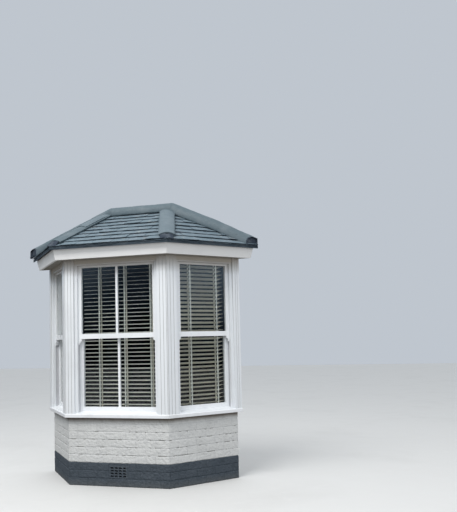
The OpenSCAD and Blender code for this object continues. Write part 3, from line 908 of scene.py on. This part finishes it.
# %% Mortar skin
MORTAR_GRID = (0.014, 0.010)                                    # along the face and upwards
BED_HALF, BED_DEPTH, BED_RIPPLE = 0.009, 0.0034, 0.0042         # in the level joints
SKIN_DEPTH, SKIN_RIPPLE, SKIN_THICK = 0.0012, 0.0022, 0.008
DIRT_AND_SHADE_DEPTH = 0.0042


def mortar(x, z, finish, dirt_and_shade):
    """A skin of mortar between two places along a face and two heights, with a dark finish of dirt
    and painted shade where it is deep.
    """
    wide, tall = x[1] - x[0], z[1] - z[0]
    clear_selection()
    bpy.ops.mesh.primitive_grid_add(x_subdivisions=max(2, int(wide / MORTAR_GRID[0])),
                                    y_subdivisions=max(2, int(tall / MORTAR_GRID[1])), size=1)
    skin = bpy.context.object
    skin.data.transform(move((x[0] + x[1]) / 2, 0, (z[0] + z[1]) / 2) @ rotate(math.pi / 2, "X")
                        @ Matrix.Diagonal((wide, tall, 1, 1)))
    for vertex in skin.data.vertices:
        ripple = wander.noise(vertex.co * 26) + 0.6 * wander.noise(vertex.co * 70)
        in_bed = abs(vertex.co.z / COURSE - round(vertex.co.z / COURSE)) * COURSE < BED_HALF
        depth, rise = (BED_DEPTH, BED_RIPPLE) if in_bed else (SKIN_DEPTH, SKIN_RIPPLE)
        vertex.co.y = depth + rise * ripple
    skin.data.materials.append(finish)
    skin.data.materials.append(dirt_and_shade)
    # The deepest faces get the dark finish of dirt and painted shade.
    for face in skin.data.polygons:
        face.material_index = 1 if face.center.y > DIRT_AND_SHADE_DEPTH else 0
    apply_modifier(skin, "SOLIDIFY", thickness=SKIN_THICK, offset=-1)
    return skin


print("the mortar skin is", round(SKIN_THICK * 1000), "mm thick")

# %% [markdown]
# Behind bricks and mortar stands the measured wall, drawn in by a few millimetres. Its cut ends
# at the back keep the colour of the joints, and its faces towards the room are plastered.
# Then all that lies on the bench is joined, cut to the mitre at the corners of the bay, carried to
# its face and joined to its wall. In front, the mortar leaves a hole for the air brick.

# %% Brickwork
DRAWN_IN = 0.007
CORNER_LAP, WALL_LAP = 0.01, 0.02                               # of mortar, before it is cut


def drawn_in(node, depth, inside, outside):
    """A copy of a measured wall whose street face is moved inwards."""
    wall = whole_copy(node, "core")
    for vertex in wall.data.vertices:
        x, y = vertex.co.x, vertex.co.y
        side = math.copysign(1, x)
        if abs(y - (WALL_Y - PROJECTION)) < 0.0005:
            vertex.co.y += depth
            if abs(abs(x) - FRONT_HALF) < 0.0005:
                vertex.co.x = side * half_width(-depth)
        elif abs(y - WALL_Y) < 0.0005 and abs(abs(x) - WALL_HALF) < 0.0005:
            vertex.co.x = side * wall_reach(-depth)
    wall.data.materials.append(inside)
    wall.data.materials.append(outside)
    for face in wall.data.polygons:
        cut_end = abs(face.normal.y - 1) < 0.01 and face.center.y > WALL_Y - 0.001
        face.material_index = 1 if cut_end else 0
    return wall


def mitred(piece, k):
    """Cuts bricks and mortar to the mitre at the corners, and just short of the bay's back."""
    across, along = math.sin(CANT / 2), math.cos(CANT / 2)
    if k:
        cut(piece, (0, 0, 0), (-k * along, across, 0), drop=True)
        carry(piece, k)
        cut(piece, (0, WALL_Y - 0.0006, 0), (0, 1, 0), drop=True)
    else:
        for side in (-1, 1):
            cut(piece, (side * FRONT_HALF, 0, 0), (side * along, across, 0), drop=True)
        carry(piece, k)


def mortar_skins(k, low, high, joint, dirt_and_shade):
    """The mortar of a face between two heights: one skin, or four round the air brick's hole."""
    left, right = face_span(k, FRONT_HALF + CORNER_LAP, CORNER_LAP, SIDE_LENGTH + WALL_LAP)
    if k or low > 0:
        return [mortar((left, right), (low, high), joint, dirt_and_shade)]
    return [mortar((left, -HOLE_HALF), (low, high), joint, dirt_and_shade),
            mortar((HOLE_HALF, right), (low, high), joint, dirt_and_shade),
            mortar((-HOLE_HALF, HOLE_HALF), (low, HOLE_BOTTOM), joint, dirt_and_shade),
            mortar((-HOLE_HALF, HOLE_HALF), (HOLE_TOP, high), joint, dirt_and_shade)]


def brickwork(kind, k, low, high, paint, joint, dirt_and_shade):
    name = kind + "_courses_" + FACE_NAME[k]
    skins = mortar_skins(k, low, high, joint, dirt_and_shade)
    face = join(lay(k, low, high, paint) + skins, name)
    mitred(face, k)
    piece = join([face, drawn_in(kind + "_" + FACE_NAME[k], DRAWN_IN, plaster, joint)], name)
    smooth(piece, 50)
    apply_modifier(piece, "WEIGHTED_NORMAL", keep_sharp=True)
    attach(piece, "root")
    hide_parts(kind + "_" + FACE_NAME[k])
    return piece


for k in FACE_NAME:
    brickwork("plinth", k, 0.0, PLINTH_TOP, dark_masonry, dark_joint, dark_joint)
    white = brickwork("brick", k, PLINTH_TOP, BRICK_TOP, white_masonry, white_joint, joint_dirt_and_shade)
    print("brickwork", FACE_NAME[k], len(white.data.polygons), "faces above the plinth")
for kind in brick_kinds:
    bpy.data.objects.remove(kind)

# %% [markdown]
# The air brick lets air under the floor. It is a moulded block with rows of slots, painted over
# with the plinth. Its edges are rounded as on the other parts, and its slots stay open, because
# they are the measured part's own.

# %% Air brick
air_paint = masonry("air_paint", (0.056, 0.07, 0.086), (0.085, 0.10, 0.11),
                    (0.12, 0.13, 0.14), 0.62, AIR_BRICK_SCUFF, (0.15, 0.15, 0.14))
rounded("airbrick", 0.002, air_paint)
print("air brick rounded")

# %% [markdown]
# The roof is laid with small natural slates, split by hand. Weather has given them a grey-blue
# face with paler and rustier spots, and lichen. The colour also changes in patches about as large
# as a slate, with fairly hard edges, which noise gives without any picture. Hips and cappings are
# of smoother mortar and tile in the same grey-blue. The edges of the slates and the bed that shows
# at the eaves get an almost black finish, a painted shade; the mortar at the ends of hips and
# cappings is dark too, at the cappings' ends partly as painted shade. Both hardly shine.

# %% Finishes for the roof
def roof_finish(name, base, pale, dark, rough, patch, spot):
    return coat(name, base, pale, dark, rough, patch=patch, speckle=spot, bump=0.7, grain=70.0,
                stain_share=(0.48, 0.62))


roof_slate = roof_finish("roof_slate", (0.112, 0.158, 0.187), (0.158, 0.198, 0.230),
                         (0.072, 0.098, 0.120), 0.62, 11.0, 34.0)
slate_tree = roof_slate.node_tree
lichen = band(slate_tree, noise(slate_tree, 9.0, 6.0), 0.62, 0.70, 0.0, 0.5)
rust = band(slate_tree, noise(slate_tree, 5.5, 5.0, (1.0, 1.0, 0.6)), 0.63, 0.75, 0.0, 0.45)
cover(roof_slate, lichen, (0.37, 0.39, 0.36))
cover(roof_slate, rust, (0.20, 0.155, 0.115))
# Painted shade: a nearly black finish for slate faces that look down or sideways, and for the bed
# at the eaves.
slate_edge_shade = roof_finish("slate_edge_shade", (0.040, 0.055, 0.070), (0.064, 0.080, 0.095),
                         (0.022, 0.030, 0.040), 0.7, 9.0, 50.0)
hip_tile = roof_finish("hip_tile", (0.100, 0.134, 0.155), (0.125, 0.159, 0.180),
                       (0.072, 0.096, 0.112), 0.6, 6.0, 30.0)
# Dark mortar of the hip ends; at the cappings' ends it also stands for painted shade.
roof_mortar_and_shade = roof_finish("roof_mortar_and_shade", (0.036, 0.047, 0.064), (0.085, 0.10, 0.12),
                          (0.016, 0.021, 0.028), 0.85, 14.0, 60.0)
capping_skin = roof_finish("capping_skin", (0.078, 0.110, 0.128), (0.108, 0.138, 0.156),
                           (0.052, 0.072, 0.086), 0.66, 7.0, 26.0)
for dull in (slate_edge_shade, roof_mortar_and_shade):
    dull.node_tree.nodes["Principled BSDF"].inputs["Specular IOR Level"].default_value = 0.12
print("five finishes for the roof")

# %% [markdown]
# The roof has three slopes that meet at the hips. They rise to the same height at the back, but
# the side slopes are shorter on plan, so they are a little steeper. These values repeat the
# measured roof: HIP_TOP is how far from the middle a hip ends at the back, REACH how far a slope
# runs in on plan, and RISE how much it climbs in a metre.

# %% The slopes of the roof
COURSES, STEP, EAVES_TOP, SLATE_BED = 9, 0.013, 2.577, 0.037
PITCH, HIP_SHIFT = math.radians(29.625), 0.070
HIP_TOP = FRONT_HALF - PROJECTION * math.tan(CANT / 2) + HIP_SHIFT
REACH = {0: DEPTH, 1: (wall_reach(EAVES) - HIP_TOP) * math.sin(CANT)}
REACH[-1] = REACH[1]
RISE = {k: math.tan(PITCH) * DEPTH / REACH[k] for k in REACH}


def roof_height(k, offset):
    return EAVES_TOP + RISE[k] * (EAVES - offset)


def hip_plane(k, side, gap):
    """A point and a normal in the scene for the upright plane over a hip, facing out of slope k."""
    foot = Vector((side * half_width(EAVES), -WALL_Y, 0))
    head = Vector((side * HIP_TOP, WALL_Y, 0))
    run = (head - foot).normalized()
    normal = Vector((run.y, -run.x, 0)) * side
    normal = normal if k == 0 else -normal
    return foot + normal * -gap, normal


def cut_to_slope(piece, k, hip_gap, back_gap):
    """Cuts a layer of the roof at its hips and at its back."""
    for side in ((-1, 1) if k == 0 else (k,)):
        point, normal = hip_plane(k, side, hip_gap)
        cut(piece, point, normal, drop=True)
    cut(piece, (0, WALL_Y - back_gap, 0), (0, 1, 0), drop=True)


for k in FACE_NAME:
    print("pitch", FACE_NAME[k], round(math.degrees(math.atan(RISE[k])), 1), "degrees")

# %% [markdown]
# One slate is a thin block, 205 by 150 mm as laid. It is cut into a few strips, so that noise can
# make its face a little wavy and its tail ragged, and the two corners of the tail are clipped by
# wear. Five different ones are enough, because each copy is also turned and stretched a little.

# %% Make five slates
SLATE_WIDE, SLATE_LONG, SLATE_THICK = 0.205, 0.150, 0.009
SLATE_CUTS, SLATE_CROSS_CUT = (-0.42, -0.15, 0.18, 0.43), 0.055


def slate_kind(number):
    piece = block("slate_kind_%d" % number, (-SLATE_WIDE / 2, 0, -SLATE_THICK),
                  (SLATE_WIDE / 2, SLATE_LONG, 0))
    for part in SLATE_CUTS:
        cut(piece, (SLATE_WIDE * part, 0, 0), (1, 0, 0))
    cut(piece, (0, SLATE_CROSS_CUT, 0), (0, 1, 0))
    for vertex in piece.data.vertices:
        x, y = vertex.co.x, vertex.co.y
        ragged = 0.0035 * wander.noise(Vector((x * 22, number * 7.3, 0)))
        vertex.co.y += ragged if y < 0.001 else 0
        vertex.co.z += 0.0016 * wander.noise(Vector((x * 11, y * 9, number * 3.1)))
        if y < 0.001 and abs(x) > 0.45 * SLATE_WIDE:
            vertex.co.y += 0.004
    apply_modifier(piece, "BEVEL", width=0.0016, segments=1, limit_method="ANGLE",
                   angle_limit=math.radians(50))
    return piece


slate_kinds = [slate_kind(number) for number in range(5)]
print("a slate has", len(slate_kinds[0].data.polygons), "faces")

# %% [markdown]
# Slates are laid from the eaves up. Each course covers the joints of the one below, and its
# tail lies on it, so a slate lies a few degrees flatter than the roof. Under the first course
# lie two more layers, each a little lower and further back, which make the edge at the eaves
# thick. At the hips and at the back the slates are cut; a plane through the hip does that to the
# whole slope at once. One slate in ten has lifted a little.

# %% Lay the slates
UNDER_EAVES = 2                                                 # more layers under the first course
LAYER_DROP, LAYER_BACK = 0.0125, 0.35                           # depth, and part of it backwards
SLATE_GAP = 0.003


def laid_slate(k, tail, drop, at, wide, tilt):
    """A slate of slope k, from its tail's offset, its layer's drop, and its place and width."""
    twin = copy_of(luck.choice(slate_kinds), "laid_slate")
    lift = luck.uniform(-0.0010, 0.0022) + (0.004 if luck.random() < 0.10 else 0)
    place = move(at + wide / 2, -tail + luck.uniform(-0.005, 0.004) + LAYER_BACK * drop,
                 roof_height(k, tail) + STEP / 2 + lift - drop)
    twin.data.transform(place @ rotate(tilt + luck.uniform(-0.012, 0.010), "X")
                        @ rotate(luck.uniform(-0.014, 0.014), "Y")
                        @ rotate(luck.uniform(-0.016, 0.016), "Z")
                        @ Matrix.Diagonal(((wide - SLATE_GAP) / SLATE_WIDE, 1, 1, 1)))
    return twin


def slope(k):
    pitch = REACH[k] / COURSES
    tilt = math.atan2(RISE[k] * pitch - STEP, pitch)
    low, high = face_span(k, half_width(EAVES) + 0.05, 0.12, 1.25)
    laid = []
    for course in range(-UNDER_EAVES, COURSES):
        row = max(course, 0)
        tail, drop = EAVES - row * pitch, LAYER_DROP * (row - course)
        at = low - SLATE_WIDE * (0.5 * (course % 2) + 0.08 * luck.random())
        while at < high:
            wide = SLATE_WIDE * luck.uniform(0.90, 1.06)
            laid.append(laid_slate(k, tail, drop, at, wide, tilt))
            at += wide
    piece = join(laid, "slating_" + FACE_NAME[k])
    carry(piece, k)
    cut_to_slope(piece, k, hip_gap=0.004, back_gap=0.001)
    return piece


def slate_bed(k):
    """The measured slope, let down under the slates and drawn back from the eaves."""
    bed = whole_copy("slates_" + FACE_NAME[k], "bed")
    place = face_place(k)
    back = place.inverted()
    for vertex in bed.data.vertices:
        offset = -(back @ vertex.co).y
        if vertex.co.z > roof_height(k, offset) - 0.015:
            vertex.co.z -= 0.0105
        if offset > EAVES - 0.002:
            vertex.co += place.to_3x3() @ Vector((0, 0.010, 0))
    return bed


for k in FACE_NAME:
    slates = slope(k)
    bed = slate_bed(k)
    slates.data.materials.append(roof_slate)
    slates.data.materials.append(slate_edge_shade)
    # Faces that look down or sideways get the painted shade.
    for face in slates.data.polygons:
        face.material_index = 1 if face.normal.z < 0.6 else 0
    # The bed that shows at the eaves is all painted shade.
    bed.data.materials.append(slate_edge_shade)
    piece = join([slates, bed], "slating_" + FACE_NAME[k])
    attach(piece, "root")
    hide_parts("slates_" + FACE_NAME[k])
    print("slates", FACE_NAME[k], len(piece.data.polygons), "faces")
for kind in slate_kinds:
    bpy.data.objects.remove(kind)

# %% [markdown]
# Broad, low-arched tiles ride over the hips, bedded in mortar. One tile is a strip of a wide
# open tube: a cylinder without ends, of which only the top is kept and whose wall is given a
# thickness later. Cuts across it at even steps let it be roughened and bent. Noise in three
# directions starts from the clock unless it has a seed, so it is given one here.

# %% Arched strips for the hips
ARCH_SIDES, ARCH_STEP = 120, 0.025
wander.seed_set(21)


def arched(name, radius, crest, half, length):
    """A strip of an open tube along Z, its crest at the given height above the bench."""
    clear_selection()
    bpy.ops.mesh.primitive_cylinder_add(vertices=ARCH_SIDES, radius=radius, depth=length,
                                        end_fill_type="NOTHING", location=(0, 0, length / 2))
    strip = bpy.context.object
    strip.name = name
    bpy.ops.object.transform_apply(location=True, rotation=False, scale=False)
    for face in strip.data.polygons:
        face.select = face.center.x < 0 or abs(face.center.y) > half
    bpy.ops.object.mode_set(mode="EDIT")
    bpy.ops.mesh.select_mode(type="FACE")
    bpy.ops.mesh.delete(type="FACE")
    bpy.ops.object.mode_set(mode="OBJECT")
    for step in range(1, int(length / ARCH_STEP)):
        cut(strip, (0, 0, step * ARCH_STEP), (0, 0, 1))
    strip.data.transform(move(crest - radius, 0, 0))
    return strip


def over_hip(side, along):
    """The matrix that lays a piece on a hip, at a distance along it from the eaves corner."""
    foot = Vector((side * half_width(EAVES), -WALL_Y, EAVES_TOP))
    head = Vector((side * HIP_TOP, WALL_Y, EAVES_TOP + RISE[side] * REACH[side]))
    run = (head - foot).normalized()
    across = run.cross(Vector((0, 0, 1))).normalized()
    turned = Matrix((across.cross(run), across, run)).transposed().to_4x4()
    return Matrix.Translation(foot + run * along) @ turned


def roughen(piece, amount, scale):
    for vertex in piece.data.vertices:
        vertex.co += amount * Vector(wander.noise_vector(vertex.co * scale))


print("a hip climbs", round(RISE[1] * REACH[1], 3), "m")

# %% [markdown]
# Two tiles follow each other up a hip, the second one over the end of the first. Near its top
# the tile bends down, so that it ends inside the capping. The mortar shows as a line along both
# sides, where the tile's edge stands a little above the slates, and as a dark, rough end towards
# the eaves that slopes down to them.

# %% Hip tiles
HIP_RADIUS, HIP_CREST, HIP_HALF, HIP_FOOT = 0.150, 0.045, 0.081, 0.080
TILE_LONG, TILE_PITCH, TILE_THICK, TILE_LAP = 0.450, 0.440, 0.016, 0.0015
TILE_BEND, BEND_START = 1.3, 0.20
BED_LONG, BED_START, BED_DOWN, BED_WIDER = 0.850, 0.014, 0.009, 0.005       # mortar at the sides
PLUG_LONG, PLUG_START, PLUG_DOWN, PLUG_SLOPE = 0.080, -0.062, 0.010, 0.36   # mortar at the end
MORTAR_THICK, HIP_END = 0.030, 0.055                                        # cut short of the back


def hip_shell(side, number):
    shell = arched("shell", HIP_RADIUS, HIP_CREST + TILE_LAP * number, HIP_HALF, TILE_LONG)
    roughen(shell, amount=0.0015, scale=9)
    apply_modifier(shell, "SOLIDIFY", thickness=TILE_THICK, offset=-1)
    apply_modifier(shell, "BEVEL", width=0.004, segments=2, limit_method="ANGLE",
                   angle_limit=math.radians(50))
    shell.data.transform(over_hip(side, HIP_FOOT + number * TILE_PITCH))
    for vertex in shell.data.vertices:
        vertex.co.z -= TILE_BEND * max(0.0, vertex.co.y - BEND_START) ** 2
    shell.data.materials.append(hip_tile)
    return shell


def hip_bed(side):
    bed = arched("bed", HIP_RADIUS, HIP_CREST - BED_DOWN, HIP_HALF + BED_WIDER, BED_LONG)
    roughen(bed, amount=0.003, scale=40)
    apply_modifier(bed, "SOLIDIFY", thickness=MORTAR_THICK, offset=-1)
    bed.data.transform(over_hip(side, HIP_FOOT + BED_START))
    bed.data.materials.append(capping_skin)
    return bed


def hip_plug(side):
    plug = arched("plug", HIP_RADIUS, HIP_CREST - PLUG_DOWN, HIP_HALF - PLUG_DOWN, PLUG_LONG)
    for vertex in plug.data.vertices:
        vertex.co.x -= PLUG_SLOPE * max(0.0, PLUG_LONG - vertex.co.z)
    roughen(plug, amount=0.008, scale=34)
    apply_modifier(plug, "SOLIDIFY", thickness=MORTAR_THICK, offset=-1)
    plug.data.transform(over_hip(side, HIP_FOOT + PLUG_START))
    plug.data.materials.append(roof_mortar_and_shade)
    return plug


for side in (-1, 1):
    tiles = [hip_shell(side, number) for number in range(2)]
    piece = join(tiles + [hip_bed(side), hip_plug(side)], "hip_" + FACE_NAME[side])
    cut(piece, (0, WALL_Y - HIP_END, 0), (0, 1, 0), drop=True)
    smooth(piece, 40)
    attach(piece, "root")
    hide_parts("hip_tiles")
    print("hip", FACE_NAME[side], len(piece.data.polygons), "faces")

# %% [markdown]
# Along its back the roof is closed by large rounded cappings that were shaped by hand in
# mortar. Sharp copies of the measured ones are joined and remeshed into one even skin, which is
# then smoothed, so that all hard edges become soft, and moved a little by noise. Handwork isn't
# even: the left one reaches up to the top capping, lies a little off the slates and has a longer
# tip, and the right one drops a little towards its tip.

# %% Cappings along the back
LEFT_HEAD, HEAD_SHIFT = (-0.395, -0.350), (0.050, 0, 0.022)
LEFT_START, LEFT_LIFT, LIFT_FADE = -0.345, 0.052, 0.05
TIP_START, TIP_OUT, TIP_DOWN = -1.30, 0.27, 0.11
RIGHT_START, RIGHT_DROP = 0.98, 0.06

side_caps = whole_copy("side_cappings", "side_caps")
for vertex in side_caps.data.vertices:
    if LEFT_HEAD[0] < vertex.co.x < LEFT_HEAD[1]:
        vertex.co += Vector(HEAD_SHIFT)
caps = join([whole_copy("top_capping", "caps"), side_caps], "cappings")
apply_modifier(caps, "REMESH", mode="VOXEL", voxel_size=0.008)
apply_modifier(caps, "SMOOTH", factor=0.6, iterations=6)
back = face_place(-1).inverted()
for vertex in caps.data.vertices:
    over_slates = vertex.co.z - roof_height(-1, -(back @ vertex.co).y)
    lifted = min(1.0, max(0.0, over_slates / LIFT_FADE))
    beyond = max(0.0, TIP_START - vertex.co.x)
    vertex.co.z += LEFT_LIFT * max(0.0, LEFT_START - vertex.co.x) * lifted
    vertex.co += Vector((-TIP_OUT * beyond, 0, -TIP_DOWN * beyond))
    vertex.co.z += 0.004 * wander.noise(vertex.co * 7) + 0.0015 * wander.noise(vertex.co * 25)
    vertex.co.z -= RIGHT_DROP * max(0.0, vertex.co.x - RIGHT_START)
    vertex.co.y = min(vertex.co.y, WALL_Y)
print("cappings", len(caps.data.polygons), "faces")

# %% [markdown]
# At the eaves both ends of the cappings are sunk and show dark mortar, partly a painted shade of
# the ends. The faces that look outwards there are picked, given the dark finish and, behind a
# narrow rim, pushed in.

# %% Ends of the cappings
END_DEEP, END_RIM, END_SINK, END_FACING = 0.016, 0.010, 0.018, 0.55

caps.data.materials.append(capping_skin)
caps.data.materials.append(roof_mortar_and_shade)
for side in (-1, 1):
    out = (face_place(side).to_3x3() @ Vector((0, -1, 0))).normalized()
    eaves_line = face_place(side) @ Vector((0, -EAVES, 0))
    for face in caps.data.polygons:
        near = (face.center - eaves_line).dot(out) > -END_DEEP
        face.select = near and face.normal.dot(out) > END_FACING
        # Dark mortar with painted shade for the ends that face the eaves.
        if face.select:
            face.material_index = 1
    print("end of the", FACE_NAME[side], "capping:", sum(f.select for f in caps.data.polygons),
          "faces")
    bpy.context.view_layer.objects.active = caps
    bpy.ops.object.mode_set(mode="EDIT")
    bpy.ops.mesh.inset(thickness=END_RIM, depth=0)
    bpy.ops.mesh.extrude_region_move(TRANSFORM_OT_translate={"value": -END_SINK * out})
    bpy.ops.mesh.select_all(action="DESELECT")
    bpy.ops.object.mode_set(mode="OBJECT")
smooth(caps, 45)
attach(caps, "root")
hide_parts("top_capping")
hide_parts("side_cappings")

# %% [markdown]
# Seen from the room side and from below, the roof has sawn rafters and boards of bare softwood
# with long grain. Noise that is stretched along the timber gives the grain, so the boards of each
# slope have a finish of their own, turned with it.

# %% Finishes for bare timber
GREY_WOOD = (0.33, 0.29, 0.245)


def bare(name, base, late, stretch, turn=0.0):
    """Sawn softwood: grain bands of two browns, grey in patches and rough along the grain."""
    finish, tree, shader = new_finish(name)
    grain = noise(tree, 9.0, 6.0, stretch, turn, 0.6)
    brown = blend_colours(tree, band(tree, grain, 0.42, 0.60, 0.0, 1.0), base, late)
    grey = band(tree, noise(tree, 1.7, 4.0), 0.5, 0.75, 0.0, 0.5)
    feed(tree, shader, {"Base Color": blend_colours(tree, grey, brown, GREY_WOOD),
                        "Roughness": band(tree, grain, 0.3, 0.7, 0.62, 0.82)})
    relief(tree, shader, grain, 0.0012, 0.5)
    return finish


rafter_wood = bare("rafter_wood", (0.52, 0.37, 0.215), (0.36, 0.225, 0.115), (9, 0.7, 9))
board_wood = {k: bare("board_wood_" + FACE_NAME[k], (0.50, 0.36, 0.215), (0.37, 0.245, 0.13),
                      (0.5, 9, 9), k * CANT) for k in FACE_NAME}
# Painted shade: a dark brown-grey for the board edges under the slates.
eaves_board_shade = coat("eaves_board_shade", (0.13, 0.125, 0.12), (0.09, 0.085, 0.08), (0.17, 0.165, 0.155),
                   0.8, patch=5.0, speckle=30.0, bump=0.3, grain=90.0)
print("finishes for rafters, boards and their edges at the eaves")

# %% [markdown]
# The boards run along each slope. They are blocks laid side by side from the eaves up and cut at
# the hips and at the back, like the slates. Their outermost strip, which shows from below the
# eaves, is painted dark, a painted shade under the slates. The bay has a plastered ceiling.

# %% Rafters, boards and ceiling
BOARD_WIDE, BOARD_THICK, BOARD_GAP = 0.145, 0.020, 0.002
BOARDS_START, BOARDS_END, SHADE_FROM = 0.174, 0.220, 0.168


def boards(k):
    pitch = math.atan(RISE[k])
    thick = BOARD_THICK * math.cos(pitch)
    low, high = face_span(k, half_width(EAVES), 0.02, 1.25)
    laid, offset = [], BOARDS_START
    while offset > BOARDS_END - REACH[k]:
        board = block("board", (low, 0, -thick), (high, BOARD_WIDE - BOARD_GAP, 0))
        apply_modifier(board, "BEVEL", width=0.0015, segments=1)
        board.data.transform(move(0, -offset, roof_height(k, offset) - SLATE_BED)
                             @ rotate(pitch, "X"))
        laid.append(board)
        offset -= BOARD_WIDE * math.cos(pitch)
    piece = join(laid, "boards_" + FACE_NAME[k])
    carry(piece, k)
    cut_to_slope(piece, k, hip_gap=0.001, back_gap=0)
    set_finish(piece, board_wood[k])
    piece.data.materials.append(eaves_board_shade)
    back = face_place(k).inverted()
    for face in piece.data.polygons:
        # The outermost strip at the eaves gets the painted shade.
        face.material_index = 1 if (back @ face.center).y < -SHADE_FROM else 0
    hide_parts("roof_deck")
    return piece


rounded("rafters", 0.002, rafter_wood)
for k in FACE_NAME:
    print("boards", FACE_NAME[k], len(boards(k).data.polygons), "faces")
rounded("ceiling", 0.001, plaster)
print("ceiling plastered")
